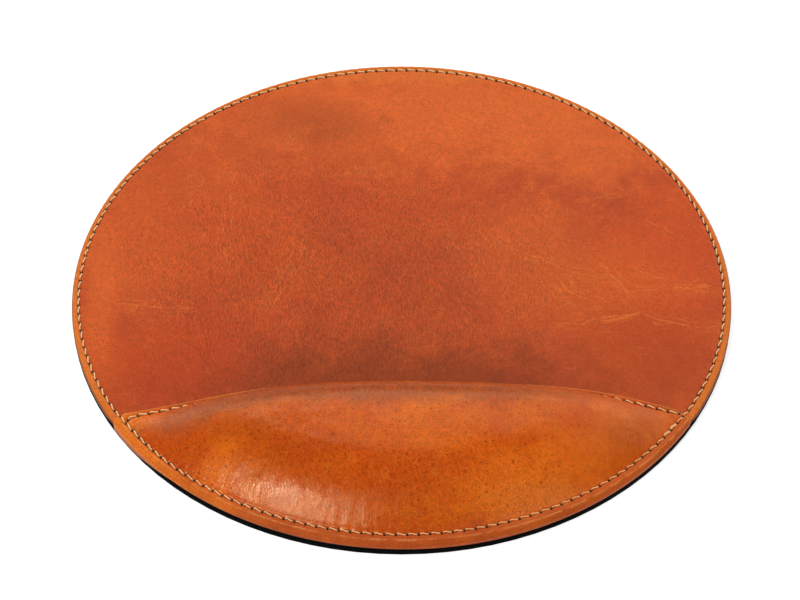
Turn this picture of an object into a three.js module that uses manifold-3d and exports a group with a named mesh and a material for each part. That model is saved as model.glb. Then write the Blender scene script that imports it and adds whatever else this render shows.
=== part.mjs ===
// A leather mouse pad: an oval mouse surface on a non-slip mat, with a padded wrist rest sewn over its front.
// The origin is on the table, under the middle of the oval. +X is to the right, +Y points away from the
// hand and +Z is up. Lengths are millimetres.

import * as THREE from "three";
import { mergeVertices } from "three/addons/utils/BufferGeometryUtils.js";
import Module from "manifold-3d";

const wasm = await Module();
wasm.setup();

// Driving dimensions

const pad = {
  width: 260,
  depth: 245,
};

const mat = {
  thickness: 2.8,
  edgeRound: 0.5,
};

const leather = {
  thickness: 1.45,
  edgeRound: 0.8,
};

// The stitch line's distance from the oval's edge, which is widest at the front
const border = {
  side: 2.6,
  rear: 2.4,
  front: 5.4,
};

const thread = {
  diameter: 0.8,
  stitch: 4.24, // six stitches to the inch
  dip: 0.4, // how far its middle goes under the surface at a needle hole
  stand: 0.1, // how far its middle stands over the surface between two holes
  sides: 4,
};

// The pressed groove that a row of stitches lies in
const groove = {
  clearance: 0.3, // beside the thread
  floor: 0.2, // under the thread
  overrun: 3, // how far a cutter stands out of what it cuts
};

// The lower threads are drawn up into the mat, clear of the table
const lowerThread = {
  lift: 0.3,
  sides: 5,
};

const rest = {
  reach: 75.2, // from the oval's front to the rear seam, at the middle
  seamRadius: 390,
  seamMargin: 1.8, // from the rear seam to the cover's cut edge
  thickness: 1.45,
  edgeRound: 0.8,
  cutEdgeRound: 0.3,
  foot: 1, // flat leather between a row of stitches and the padding
  rise: 12, // the height that the padding reaches from its sides
  crown: 0.6, // how much more it has in its middle
  rearSlope: 14, // how far the padding takes to reach its height, from the rear
  frontSlope: 30, // and from the front, where it starts less steeply
  climb: 6, // the length over which the border stitches climb onto the cover
  coreClearance: 0.5, // between the cover and the foam in it
};

// How finely the shapes are drawn

const ovalSegments = 96;
const edgeSteps = 3;
const paddingColumns = 24;
const coreEndColumns = 4; // columns at each end where the padding is too thin for a core
const holesPerStep = 2; // along a groove and a lower thread
const normalStep = rest.foot / 2;

// Rows over the padding from its rear foot to its front one, as shares of the local depth
const paddingRowShares = [0, 0.03, 0.08, 0.15, 0.25, 0.45, 0.62, 0.76, 0.87, 0.945, 0.985, 1];

// A needle thread's path over one stitch: down at its hole, and level between the holes
const stitchShares = [
  { alongShare: 0, height: -thread.dip },
  { alongShare: 0.25, height: thread.stand },
  { alongShare: 0.75, height: thread.stand },
];

// What follows from them

const matTop = mat.thickness;
const surfaceTop = matTop + leather.thickness;
const flangeTop = surfaceTop + rest.thickness;
const threadRadius = thread.diameter / 2;
const grooveHalfWidth = threadRadius + groove.clearance;
const grooveDepth = thread.dip + threadRadius + groove.floor;

const outline = { x: 0, y: 0, halfWidth: pad.width / 2, halfDepth: pad.depth / 2 };
const stitchLine = {
  x: 0,
  y: (border.front - border.rear) / 2,
  halfWidth: pad.width / 2 - border.side,
  halfDepth: (pad.depth - border.front - border.rear) / 2,
};
const seam = { x: 0, y: -outline.halfDepth + rest.reach - rest.seamRadius, radius: rest.seamRadius };
const cutEdge = { ...seam, radius: seam.radius + rest.seamMargin };

// Curves in plan

function shrunkArc(arc, inset) {
  return { ...arc, radius: arc.radius - inset };
}

function shrunkOval(oval, inset) {
  return { ...oval, halfWidth: oval.halfWidth - inset, halfDepth: oval.halfDepth - inset };
}

// The front half of an oval at x
function ovalFront(oval, x) {
  const share = Math.min(1, Math.abs(x) / oval.halfWidth);
  return oval.y - oval.halfDepth * Math.sqrt(1 - share * share);
}

// The rear of a circle at x
function arcRear(arc, x) {
  return arc.y + Math.sqrt(arc.radius * arc.radius - x * x);
}

// Where a rear arc meets an oval's front, to the right of the middle
function meeting(arc, oval) {
  let inside = 0;
  let outside = oval.halfWidth;
  for (let halving = 0; halving < 60; halving++) {
    const x = (inside + outside) / 2;
    if (arcRear(arc, x) > ovalFront(oval, x)) inside = x;
    else outside = x;
  }
  return inside;
}

// How far a point lies inside a circle
function insideArc(arc, x, y) {
  return arc.radius - Math.hypot(x - arc.x, y - arc.y);
}

// How far a point lies inside an oval, to first order
function insideOval(oval, x, y) {
  const across = (x - oval.x) / oval.halfWidth;
  const along = (y - oval.y) / oval.halfDepth;
  const share = Math.hypot(across, along);
  const slope = Math.hypot(across / oval.halfWidth, along / oval.halfDepth) / share;
  return (1 - share) / slope;
}

// The padding's shape

const paddingRear = shrunkArc(seam, rest.foot);
const paddingFront = shrunkOval(stitchLine, rest.foot);
const paddingDepth = arcRear(paddingRear, 0) - ovalFront(paddingFront, 0);
const paddingTip = meeting(paddingRear, paddingFront);
const coverTip = meeting(cutEdge, outline);

// A side that rises like a quarter of an oval
function roundedRise(share) {
  const left = 1 - Math.min(1, share);
  return Math.sqrt(1 - left * left);
}

// A side that rises like a parabola
function gentleRise(share) {
  const left = 1 - Math.min(1, share);
  return 1 - left * left;
}

// How far the cover stands over its flat flange, which falls away towards the narrow ends
function padding(x, y) {
  const fromRear = insideArc(paddingRear, x, y);
  const fromFront = insideOval(paddingFront, x, y);
  if (fromRear <= 0 || fromFront <= 0) return 0;
  const depth = fromRear + fromFront;
  const missingShare = 1 - Math.min(1, depth / paddingDepth);
  const endTaper = 1 - missingShare ** 2;
  const sides = roundedRise(fromRear / rest.rearSlope) * gentleRise(fromFront / rest.frontSlope);
  const middle = (4 * fromRear * fromFront) / depth ** 2;
  return endTaper * (rest.rise * sides + rest.crown * middle);
}

// The point at a depth under the padded surface, measured square to it, and never under the mouse surface
function underPadding(x, y, depth) {
  const slopeX = (padding(x + normalStep, y) - padding(x - normalStep, y)) / (2 * normalStep);
  const slopeY = (padding(x, y + normalStep) - padding(x, y - normalStep)) / (2 * normalStep);
  const normal = new THREE.Vector3(-slopeX, -slopeY, 1).normalize();
  const point = new THREE.Vector3(x, y, flangeTop + padding(x, y)).addScaledVector(normal, -depth);
  point.z = Math.max(point.z, surfaceTop);
  return point;
}

// Mesh helpers

// Merges the points of a geometry that lie together, and drops the faces that they close up
function welded(geometry) {
  const bare = new THREE.BufferGeometry();
  bare.setAttribute("position", geometry.getAttribute("position"));
  bare.setIndex(geometry.index);
  const merged = mergeVertices(bare);
  const faces = [];
  for (let i = 0; i < merged.index.count; i += 3) {
    const [a, b, c] = merged.index.array.slice(i, i + 3);
    if (a !== b && b !== c && c !== a) faces.push(a, b, c);
  }
  merged.setIndex(faces);
  return merged;
}

function geometryOf(points, faces) {
  const geometry = new THREE.BufferGeometry().setFromPoints(points);
  geometry.setIndex(faces);
  return welded(geometry);
}

// Joins sections of equally many points into a tube, a ring if it is closed and capped if it isn't
function sweep(sections, closed) {
  const sides = sections[0].length;
  const faces = [];
  const steps = closed ? sections.length : sections.length - 1;
  for (let step = 0; step < steps; step++) {
    const here = step * sides;
    const next = ((step + 1) % sections.length) * sides;
    for (let side = 0; side < sides; side++) {
      const other = (side + 1) % sides;
      faces.push(here + side, next + side, next + other);
      faces.push(here + side, next + other, here + other);
    }
  }
  if (!closed) {
    const last = (sections.length - 1) * sides;
    for (let side = 1; side < sides - 1; side++) {
      faces.push(0, side, side + 1);
      faces.push(last, last + side + 1, last + side);
    }
  }
  return geometryOf(sections.flat(), faces);
}

// A solid between an upper and a lower sheet of the same grid of columns and rows
function solidSheet(upper, lower) {
  const columns = upper.length;
  const rows = upper[0].length;
  const faces = [];
  const top = (column, row) => column * rows + row;
  const bottom = (column, row) => (columns + column) * rows + row;
  const quad = (a, b, c, d) => faces.push(a, b, c, a, c, d);
  const lastColumn = columns - 1;
  const lastRow = rows - 1;
  for (let column = 0; column < lastColumn; column++) {
    const next = column + 1;
    for (let row = 0; row < lastRow; row++) {
      quad(top(column, row), top(column, row + 1), top(next, row + 1), top(next, row));
      quad(bottom(column, row), bottom(next, row), bottom(next, row + 1), bottom(column, row + 1));
    }
    quad(top(column, 0), top(next, 0), bottom(next, 0), bottom(column, 0));
    quad(top(column, lastRow), bottom(column, lastRow), bottom(next, lastRow), top(next, lastRow));
  }
  for (let row = 0; row < lastRow; row++) {
    const beside = row + 1;
    quad(top(0, row), bottom(0, row), bottom(0, beside), top(0, beside));
    quad(top(lastColumn, row), top(lastColumn, beside), bottom(lastColumn, beside), bottom(lastColumn, row));
  }
  return geometryOf([...upper.flat(), ...lower.flat()], faces);
}

function solidOf(geometry) {
  return new wasm.Manifold(
    new wasm.Mesh({
      numProp: 3,
      vertProperties: new Float32Array(geometry.attributes.position.array),
      triVerts: new Uint32Array(geometry.index.array),
    }),
  );
}

// Cuts the cutters out of a closed geometry
function cut(geometry, ...cutters) {
  const left = cutters.reduce((solid, cutter) => solid.subtract(solidOf(cutter)), solidOf(geometry));
  const mesh = left.getMesh();
  const result = new THREE.BufferGeometry();
  result.setAttribute("position", new THREE.BufferAttribute(mesh.vertProperties, 3));
  result.setIndex(new THREE.BufferAttribute(mesh.triVerts, 1));
  return result;
}

// A point on a rounded rim, whose round turns up from the face if it is positive, and down if it is negative
function edgePoint(face, round, share) {
  const turn = (share * Math.PI) / 2;
  const radius = outline.halfWidth - Math.abs(round) * (1 - Math.sin(turn));
  return new THREE.Vector2(radius, face + round * (1 - Math.cos(turn)));
}

// An oval sheet with rounded edges
function ovalSheet(low, high, lowRound, highRound) {
  const profile = [new THREE.Vector2(0, low)];
  for (let step = 0; step <= edgeSteps; step++) {
    profile.push(edgePoint(low, lowRound, step / edgeSteps));
  }
  for (let step = edgeSteps; step >= 0; step--) {
    profile.push(edgePoint(high, -highRound, step / edgeSteps));
  }
  profile.push(new THREE.Vector2(0, high));
  const sheet = new THREE.LatheGeometry(profile, ovalSegments);
  sheet.rotateX(Math.PI / 2);
  sheet.scale(1, outline.halfDepth / outline.halfWidth, 1);
  return welded(sheet);
}

// Rows of stitches

// How far the border stitches are lifted by the cover, which they climb onto over a short length
function coverLift(x, y) {
  const climbedShare = insideArc(cutEdge, x, y) / rest.climb + 1 / 2;
  return rest.thickness * Math.min(1, Math.max(0, climbedShare));
}

// Needle holes at one pitch all the way round the stitch line
function borderHoles() {
  const { x, y, halfWidth, halfDepth } = stitchLine;
  const curve = new THREE.EllipseCurve(x, y, halfWidth, halfDepth);
  curve.arcLengthDivisions = 20 * ovalSegments;
  const count = Math.round(curve.getLength() / thread.stitch);
  const spots = curve.getSpacedPoints(count).slice(0, count);
  return spots.map((spot) => new THREE.Vector3(spot.x, spot.y, surfaceTop + coverLift(spot.x, spot.y)));
}

// Needle holes along the rear seam, which starts and ends just inside the border stitches
function seamHoles() {
  const end = meeting(seam, shrunkOval(stitchLine, thread.diameter + groove.clearance));
  const reach = Math.asin(end / seam.radius);
  const count = Math.round((2 * reach * seam.radius) / thread.stitch);
  const holes = [];
  for (let hole = 0; hole <= count; hole++) {
    const turn = reach * (1 - (2 * hole) / count);
    const x = seam.x + seam.radius * Math.sin(turn);
    const y = seam.y + seam.radius * Math.cos(turn);
    holes.push(new THREE.Vector3(x, y, flangeTop));
  }
  return holes;
}

// Fewer of the holes, for what only has to follow the row
function sparser(holes, closed) {
  return holes.filter((hole, i) => i % holesPerStep === 0 || (!closed && i === holes.length - 1));
}

const atHeight = (holes, z) => holes.map((hole) => new THREE.Vector3(hole.x, hole.y, z));

// The middle of a needle thread over a row of holes
function wavyLine(holes, closed) {
  const line = [];
  const stitches = closed ? holes.length : holes.length - 1;
  for (let stitch = 0; stitch < stitches; stitch++) {
    const next = holes[(stitch + 1) % holes.length];
    for (const { alongShare, height } of stitchShares) {
      const point = holes[stitch].clone().lerp(next, alongShare);
      point.z += height;
      line.push(point);
    }
  }
  if (!closed) {
    const end = holes[holes.length - 1].clone();
    end.z -= thread.dip;
    line.push(end);
  }
  return line;
}

// The direction of travel at each point of a line
function travel(line, closed) {
  const last = line.length - 1;
  return line.map((point, i) => {
    const before = line[i - 1] ?? (closed ? line[last] : point);
    const after = line[i + 1] ?? (closed ? line[0] : point);
    return after.clone().sub(before).normalize();
  });
}

// A thread of few sides along a line
function threadAlong(line, closed, sides) {
  const ahead = travel(line, closed);
  const up = new THREE.Vector3(0, 0, 1);
  const sections = line.map((point, i) => {
    const across = ahead[i].clone().cross(up).normalize();
    const over = across.clone().cross(ahead[i]).normalize();
    const section = [];
    for (let side = 0; side < sides; side++) {
      const turn = ((side + 1 / 2) * 2 * Math.PI) / sides;
      const spoke = across.clone().multiplyScalar(Math.cos(turn)).addScaledVector(over, Math.sin(turn));
      section.push(point.clone().addScaledVector(spoke, threadRadius));
    }
    return section;
  });
  return sweep(sections, closed);
}

// A cutter for the groove along a row of holes, which may run on past its ends
function grooveCutter(holes, closed, depthBelow, heightAbove) {
  const line = sparser(holes, closed);
  const ahead = travel(line, closed);
  const sections = line.map((hole, i) => {
    const end = closed ? 0 : i === 0 ? -1 : i === line.length - 1 ? 1 : 0;
    const middle = hole.clone().addScaledVector(ahead[i], end * grooveHalfWidth);
    const across = new THREE.Vector3(ahead[i].y, -ahead[i].x, 0).normalize();
    const corner = (side, height) => {
      const point = middle.clone().addScaledVector(across, side * grooveHalfWidth);
      point.z = hole.z + height;
      return point;
    };
    return [corner(1, -depthBelow), corner(1, heightAbove), corner(-1, heightAbove), corner(-1, -depthBelow)];
  });
  return sweep(sections, closed);
}

const borderRow = borderHoles();
const seamRow = seamHoles();
const borderGroove = grooveCutter(borderRow, true, grooveDepth, groove.overrun);
const seamGroove = grooveCutter(seamRow, false, grooveDepth, groove.overrun);

// The mat and the mouse surface

// The mat holds the lower threads: the border's in a groove underneath and the seam's in one on top
function matGeometry() {
  const sheet = ovalSheet(0, matTop, mat.edgeRound, 0);
  const underDepth = lowerThread.lift + thread.diameter + groove.floor;
  const topDepth = thread.diameter + 2 * groove.floor;
  const underneath = grooveCutter(atHeight(borderRow, 0), true, groove.overrun, underDepth);
  const onTop = grooveCutter(atHeight(seamRow, matTop), false, topDepth, groove.overrun);
  return cut(sheet, underneath, onTop);
}

function surfaceGeometry() {
  return cut(ovalSheet(matTop, surfaceTop, 0, leather.edgeRound), borderGroove);
}

// The wrist rest

// Columns over the padding, closest at its ends
function paddingColumnPlaces() {
  const places = [];
  for (let column = 0; column <= paddingColumns; column++) {
    places.push(paddingTip * Math.sin((column / paddingColumns - 1 / 2) * Math.PI));
  }
  return places;
}

const isPastPadding = (x) => Math.abs(x) >= paddingTip;

// Where the padding ends in a point, as a share of the cover's local depth
function tipShare() {
  const rear = arcRear(cutEdge, paddingTip);
  return (rear - arcRear(paddingRear, paddingTip)) / (rear - ovalFront(outline, paddingTip));
}

// The padded surface at one column, from its rear foot to its front one, which meet past the padding's ends
function paddingRows(x) {
  const rear = arcRear(cutEdge, x);
  const meetingY = rear + (ovalFront(outline, x) - rear) * tipShare();
  const rearFoot = isPastPadding(x) ? meetingY : arcRear(paddingRear, x);
  const frontFoot = isPastPadding(x) ? meetingY : ovalFront(paddingFront, x);
  return paddingRowShares.map((share) => {
    const y = rearFoot + (frontFoot - rearFoot) * share;
    const isFoot = isPastPadding(x) || share === 0 || share === 1;
    return new THREE.Vector3(x, y, flangeTop + (isFoot ? 0 : padding(x, y)));
  });
}

// The same rows at a depth under the leather, where each foot moves in as far as its neighbour does
function underRows(rows, depth) {
  if (isPastPadding(rows[0].x)) return rows.map((point) => point.clone().setZ(surfaceTop));
  const under = rows.map((point) => underPadding(point.x, point.y, depth));
  const last = rows.length - 1;
  for (const [foot, neighbour] of [[0, 1], [last, last - 1]]) {
    const shift = under[neighbour].clone().sub(rows[neighbour]);
    under[foot].copy(rows[foot]).add(shift).setZ(surfaceTop);
  }
  return under;
}

// The leather drawn over the padding, with its flat flange on all sides
function coverGeometry() {
  const flangeMiddle = (paddingTip + coverTip) / 2;
  const columns = [-coverTip, -flangeMiddle, ...paddingColumnPlaces(), flangeMiddle, coverTip];
  const upper = columns.map((x) => {
    const padded = paddingRows(x);
    const front = ovalFront(outline, x);
    const edgeWidth = Math.min(rest.edgeRound, (padded[padded.length - 1].y - front) / 2);
    const rows = [
      new THREE.Vector3(x, arcRear(cutEdge, x), flangeTop - rest.cutEdgeRound),
      ...padded,
      new THREE.Vector3(x, front + edgeWidth, flangeTop),
      new THREE.Vector3(x, front, flangeTop - rest.edgeRound),
    ];
    const atTip = Math.abs(x) >= coverTip;
    return atTip ? rows.map((point) => point.setZ(flangeTop - rest.edgeRound)) : rows;
  });
  const lower = upper.map((rows) => {
    const flat = rows.map((point) => point.clone().setZ(surfaceTop));
    const padded = underRows(rows.slice(1, -2), rest.thickness);
    return [flat[0], ...padded, ...flat.slice(-2)];
  });
  return cut(solidSheet(upper, lower), borderGroove, seamGroove);
}

// The foam that fills the cover
function coreGeometry() {
  const columns = paddingColumnPlaces().slice(coreEndColumns, -coreEndColumns);
  const upper = columns.map((x) => underRows(paddingRows(x), rest.thickness + rest.coreClearance));
  const lower = upper.map((rows) => rows.map((point) => point.clone().setZ(surfaceTop)));
  return solidSheet(upper, lower);
}

// Finishes

const blackRubber = new THREE.MeshStandardMaterial({ color: 0x121212, roughness: 0.9, metalness: 0 });
const surfaceLeather = new THREE.MeshStandardMaterial({ color: 0xb4512c, roughness: 0.55, metalness: 0 });
const restLeather = new THREE.MeshStandardMaterial({ color: 0xbd5a22, roughness: 0.4, metalness: 0 });
const paleFoam = new THREE.MeshStandardMaterial({ color: 0xe8e2cf, roughness: 0.95, metalness: 0 });
const creamThread = new THREE.MeshStandardMaterial({ color: 0xe8c79a, roughness: 0.6, metalness: 0 });

// The assembly

const mousePad = new THREE.Group();

function addPart(name, geometry, material) {
  const part = new THREE.Mesh(geometry, material);
  part.name = name;
  mousePad.add(part);
}

const lowerBorderLine = atHeight(sparser(borderRow, true), lowerThread.lift + threadRadius);
const lowerSeamLine = atHeight(sparser(seamRow, false), matTop - groove.floor - threadRadius);

addPart("non_slip_mat", matGeometry(), blackRubber);
addPart("mouse_surface_leather", surfaceGeometry(), surfaceLeather);
addPart("wrist_rest_core", coreGeometry(), paleFoam);
addPart("wrist_rest_cover", coverGeometry(), restLeather);
addPart("border_needle_thread", threadAlong(wavyLine(borderRow, true), true, thread.sides), creamThread);
addPart("seam_needle_thread", threadAlong(wavyLine(seamRow, false), false, thread.sides), creamThread);
addPart("border_bobbin_thread", threadAlong(lowerBorderLine, true, lowerThread.sides), creamThread);
addPart("seam_bobbin_thread", threadAlong(lowerSeamLine, false, lowerThread.sides), creamThread);

export default mousePad;
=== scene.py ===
import math

import bmesh
import bpy
import numpy as np
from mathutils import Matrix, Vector


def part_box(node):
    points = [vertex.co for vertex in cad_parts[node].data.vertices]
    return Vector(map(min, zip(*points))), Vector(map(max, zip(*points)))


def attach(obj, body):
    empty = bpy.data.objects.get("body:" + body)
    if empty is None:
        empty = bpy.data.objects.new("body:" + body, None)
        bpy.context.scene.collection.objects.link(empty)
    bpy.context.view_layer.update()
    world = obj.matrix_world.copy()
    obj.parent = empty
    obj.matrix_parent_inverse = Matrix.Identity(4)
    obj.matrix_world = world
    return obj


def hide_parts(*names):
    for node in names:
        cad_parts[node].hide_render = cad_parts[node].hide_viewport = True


# A leather mouse pad with a padded wrist rest. Sizes are millimetres until a mesh or a lamp is made.
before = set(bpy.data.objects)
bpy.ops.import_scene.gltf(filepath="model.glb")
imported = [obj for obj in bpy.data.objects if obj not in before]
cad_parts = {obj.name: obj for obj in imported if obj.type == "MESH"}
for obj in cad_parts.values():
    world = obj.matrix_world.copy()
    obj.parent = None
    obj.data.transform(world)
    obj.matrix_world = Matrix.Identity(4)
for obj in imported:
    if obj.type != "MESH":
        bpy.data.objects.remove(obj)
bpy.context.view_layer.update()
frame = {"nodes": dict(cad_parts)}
mm = 0.001
print("frame loaded:", ", ".join(frame["nodes"]))


def nodeBox(name):
    low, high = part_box(name)
    return np.array(low) / mm, np.array(high) / mm


def ease(value, start, end):
    share = np.clip((value - start) / (end - start), 0, 1)
    return share * share * (3 - 2 * share)


def bell(value, middle, width):
    return np.exp(-(((value - middle) / width) ** 2))


# Curves seen from above, which the part's own sizes give

layout = {
    "side": 2.6,          # from the oval's edge to its stitches, at the sides
    "rear": 2.4,
    "front": 5.4,
    "reach": 75.2,        # from the oval's front to the wrist rest's rear seam
    "seamRadius": 390,
    "seamMargin": 1.8,    # from the rear seam to the cover's cut edge
    "foot": 1,            # flat leather between the stitches and the padding
    "rise": 12,
    "crown": 0.6,
    "rearSlope": 14,
    "frontSlope": 30,
    "climb": 6,           # the length over which the border stitches climb onto the cover
    "coreClearance": 0.5,
    "stitch": 4.24,
    "seamEnd": 1.7,       # how far inside the border stitches the rear seam stops
    "seamTurns": [(0.6, 1.1), (-0.9, 1.2)],  # how the seam's ends turn to the rear: share and stitches
    "fullness": 1.15,     # how soon the padding reaches its height from its ends
    "leftFullness": 0.17, # how much sooner it does at the left
    "cornerRadius": 6,    # of the cover's two corners behind the border stitches
    "cornerStart": 7.6,   # how far before the tip a corner begins to turn
    "borderPoints": 7281, # at which the border's length is measured
}

# Where the hand-sewn seam strays from its arc: middle, width and distance to the rear
seamStrays = [(72, 30, 2.0), (-90, 26, -1.8), (114, 9, -0.9)]

matHigh = nodeBox("non_slip_mat")[1]
matTop = nodeBox("mouse_surface_leather")[0][2]
surfaceTop = nodeBox("wrist_rest_cover")[0][2]
coreHalfWidth = nodeBox("wrist_rest_core")[1][0]
leatherThickness = surfaceTop - matTop
flangeTop = surfaceTop + leatherThickness


def makeOval(y, halfWidth, halfDepth):
    return {"y": y, "halfWidth": halfWidth, "halfDepth": halfDepth}


def shrunkOval(oval, inset):
    return makeOval(oval["y"], oval["halfWidth"] - inset, oval["halfDepth"] - inset)


def ovalBetween(a, b, share):
    return {key: a[key] + (b[key] - a[key]) * share for key in a}


def shrunkArc(arc, inset):
    return {"y": arc["y"], "radius": arc["radius"] - inset}


def ovalFront(oval, x):
    share = np.minimum(1, np.abs(x) / oval["halfWidth"])
    return oval["y"] - oval["halfDepth"] * np.sqrt(1 - share * share)


def seamStray(x):
    return sum(distance * bell(x, middle, width) for middle, width, distance in seamStrays)


def arcRear(arc, x):
    return arc["y"] + np.sqrt(arc["radius"] ** 2 - x * x) + seamStray(x)


def insideArc(arc, x, y):
    return arc["radius"] - np.hypot(x, y - arc["y"] - seamStray(x))


def insideOval(oval, x, y):
    across = x / oval["halfWidth"]
    along = (y - oval["y"]) / oval["halfDepth"]
    share = np.maximum(1e-6, np.hypot(across, along))
    slope = np.hypot(across / oval["halfWidth"], along / oval["halfDepth"]) / share
    return (1 - share) / slope


# How far a test holds from the middle outwards, found by halving
def reachOf(isInside, outside):
    inside = 0.0
    for halving in range(50):
        x = (inside + outside) / 2
        inside, outside = (x, outside) if isInside(x) else (inside, x)
    return inside


# Where an arc meets an oval's front, to the right if the side is 1 and to the left if it is -1
def meeting(arc, oval, side):
    return reachOf(lambda x: arcRear(arc, side * x) > ovalFront(oval, x), oval["halfWidth"])


outline = makeOval(0, matHigh[0], matHigh[1])
stitchLine = makeOval(
    (layout["front"] - layout["rear"]) / 2,
    outline["halfWidth"] - layout["side"],
    outline["halfDepth"] - (layout["front"] + layout["rear"]) / 2,
)
seam = {"y": -outline["halfDepth"] + layout["reach"] - layout["seamRadius"], "radius": layout["seamRadius"]}
cutEdge = shrunkArc(seam, -layout["seamMargin"])
paddingRear = shrunkArc(seam, layout["foot"])
paddingFront = shrunkOval(stitchLine, layout["foot"])
paddingDepth = arcRear(paddingRear, 0) - ovalFront(paddingFront, 0)
coverTips = {side: meeting(cutEdge, outline, side) for side in (-1, 1)}


# The cover's cut edge, whose two corners are rounded off towards the front
def coverRear(x):
    tip = np.where(x > 0, coverTips[1], coverTips[-1])
    turned = np.clip((np.abs(x) - tip + layout["cornerStart"]) / layout["cornerRadius"], 0, 1)
    return arcRear(cutEdge, x) - layout["cornerRadius"] * (1 - np.sqrt(1 - turned * turned))


def coverEnd(side):
    return reachOf(lambda x: coverRear(side * x) > ovalFront(outline, x), coverTips[side])


# Noise

# Random heights from -1 to 1 at whole numbers, blended between them
def smoothNoise(x, y, seed):
    table = np.random.default_rng(seed).uniform(-1, 1, (256, 256))
    left, low = np.floor(x).astype(int), np.floor(y).astype(int)
    u, v = x - left, y - low
    u, v = u * u * (3 - 2 * u), v * v * (3 - 2 * v)
    a, b = table[left % 256, low % 256], table[(left + 1) % 256, low % 256]
    c, d = table[left % 256, (low + 1) % 256], table[(left + 1) % 256, (low + 1) % 256]
    return (a + (b - a) * u) * (1 - v) + (c + (d - c) * u) * v


def layeredNoise(x, y, seed, layers=3):
    total, size = 0, 1
    for layer in range(layers):
        total = total + smoothNoise(x * size, y * size, seed + layer) / size
        size *= 2
    return total


# Layered noise with features of a size, moved off the origin by a shift
def spreadNoise(x, y, size, shift, seed, layers=3):
    return layeredNoise(x / size + shift[0], y / size + shift[1], seed, layers)


# Rows of stitches: places along a row are counted in stitches

def measureBorder():
    turns = np.linspace(0, 2 * np.pi, layout["borderPoints"])
    x = stitchLine["halfWidth"] * np.cos(turns)
    y = stitchLine["halfDepth"] * np.sin(turns)
    run = np.concatenate([[0], np.cumsum(np.hypot(np.diff(x), np.diff(y)))])
    count = round(run[-1] / layout["stitch"])
    return {"turns": turns, "stitches": run / run[-1] * count, "count": count}


borderRow = measureBorder()
seamEnds = {side: meeting(seam, shrunkOval(stitchLine, layout["seamEnd"]), side) for side in (-1, 1)}
seamStart = math.asin(seamEnds[1] / seam["radius"])
seamSpan = seamStart + math.asin(seamEnds[-1] / seam["radius"])
seamCount = round(seamSpan * seam["radius"] / layout["stitch"])


def borderTurn(stitches):
    return np.interp(stitches % borderRow["count"], borderRow["stitches"], borderRow["turns"])


def borderStitches(x, y):
    turn = np.arctan2((y - stitchLine["y"]) / stitchLine["halfDepth"], x / stitchLine["halfWidth"])
    return np.interp(turn % (2 * np.pi), borderRow["turns"], borderRow["stitches"])


def seamStitches(x, y):
    return (seamStart - np.arctan2(x, y - seam["y"])) / seamSpan * seamCount


# How far the first and last stitches of the seam turn to the rear
def seamBend(stitches):
    (first, firstLength), (last, lastLength) = layout["seamTurns"]
    fromStart = np.clip(firstLength - stitches, 0, 2)
    fromEnd = np.clip(lastLength - (seamCount - stitches), 0, 2)
    return first * fromStart ** 2 + last * fromEnd ** 2


def ovalPoints(oval, turns):
    return oval["halfWidth"] * np.cos(turns), oval["y"] + oval["halfDepth"] * np.sin(turns)


# Relief that the sewing presses into leather

sewing = {
    "valleyWidth": 1.0,
    "valleyDepth": 0.3,
    "valleyEase": 0.3,    # how much shallower the valley is in a stitch's middle
    "holeRadius": 0.66,
    "holeDepth": 0.75,
    "tuckPlace": 1.9,     # the swelling beside each stitch
    "tuckWidth": 0.8,
    "tuckHeight": 0.12,
}


def fromHole(stitches):
    return np.abs(stitches - np.round(stitches)) * layout["stitch"]


# The height that a row adds, and how much each point belongs to a needle hole
def stitchRelief(across, stitches):
    hole = np.exp(-((np.hypot(fromHole(stitches), across) / sewing["holeRadius"]) ** 4))
    valley = bell(across, 0, sewing["valleyWidth"])
    middle = 0.5 - 0.5 * np.cos(2 * np.pi * stitches)
    tuck = bell(np.abs(across), sewing["tuckPlace"], sewing["tuckWidth"]) * middle
    pressed = sewing["valleyDepth"] * valley * (1 - sewing["valleyEase"] * middle)
    return sewing["tuckHeight"] * tuck - pressed - sewing["holeDepth"] * hole, hole


def roundedRise(share):
    left = 1 - np.minimum(1, share)
    return np.sqrt(np.maximum(0, 1 - left * left))


def gentleRise(share):
    return 1 - (1 - np.minimum(1, share)) ** 2


# How far the cover stands over its flat flange
def padding(x, y):
    fromRear = insideArc(paddingRear, x, y)
    fromFront = insideOval(paddingFront, x, y)
    isPadded = (fromRear > 0) & (fromFront > 0)
    rear, front = np.where(isPadded, fromRear, 1), np.where(isPadded, fromFront, 1)
    depth = rear + front
    fullness = layout["fullness"] - layout["leftFullness"] * x / 100
    endTaper = gentleRise(fullness * depth / paddingDepth)
    sides = roundedRise(rear / layout["rearSlope"]) * gentleRise(front / layout["frontSlope"])
    middle = 4 * rear * front / depth ** 2
    return np.where(isPadded, endTaper * (layout["rise"] * sides + layout["crown"] * middle), 0)


# How much thicker a sheet on the padding is when it is measured straight down
def paddingSlant(x, y):
    step = 0.5
    slopeX = (padding(x + step, y) - padding(x - step, y)) / (2 * step)
    slopeY = (padding(x, y + step) - padding(x, y - step)) / (2 * step)
    return np.sqrt(slopeX ** 2 + slopeY ** 2 + 1)


def coverLift(x, y):
    return leatherThickness * np.clip(insideArc(cutEdge, x, y) / layout["climb"] + 0.5, 0, 1)


# Meshes

def addObject(name, data):
    thing = bpy.data.objects.new(name, data)
    bpy.context.scene.collection.objects.link(thing)
    return thing


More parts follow.
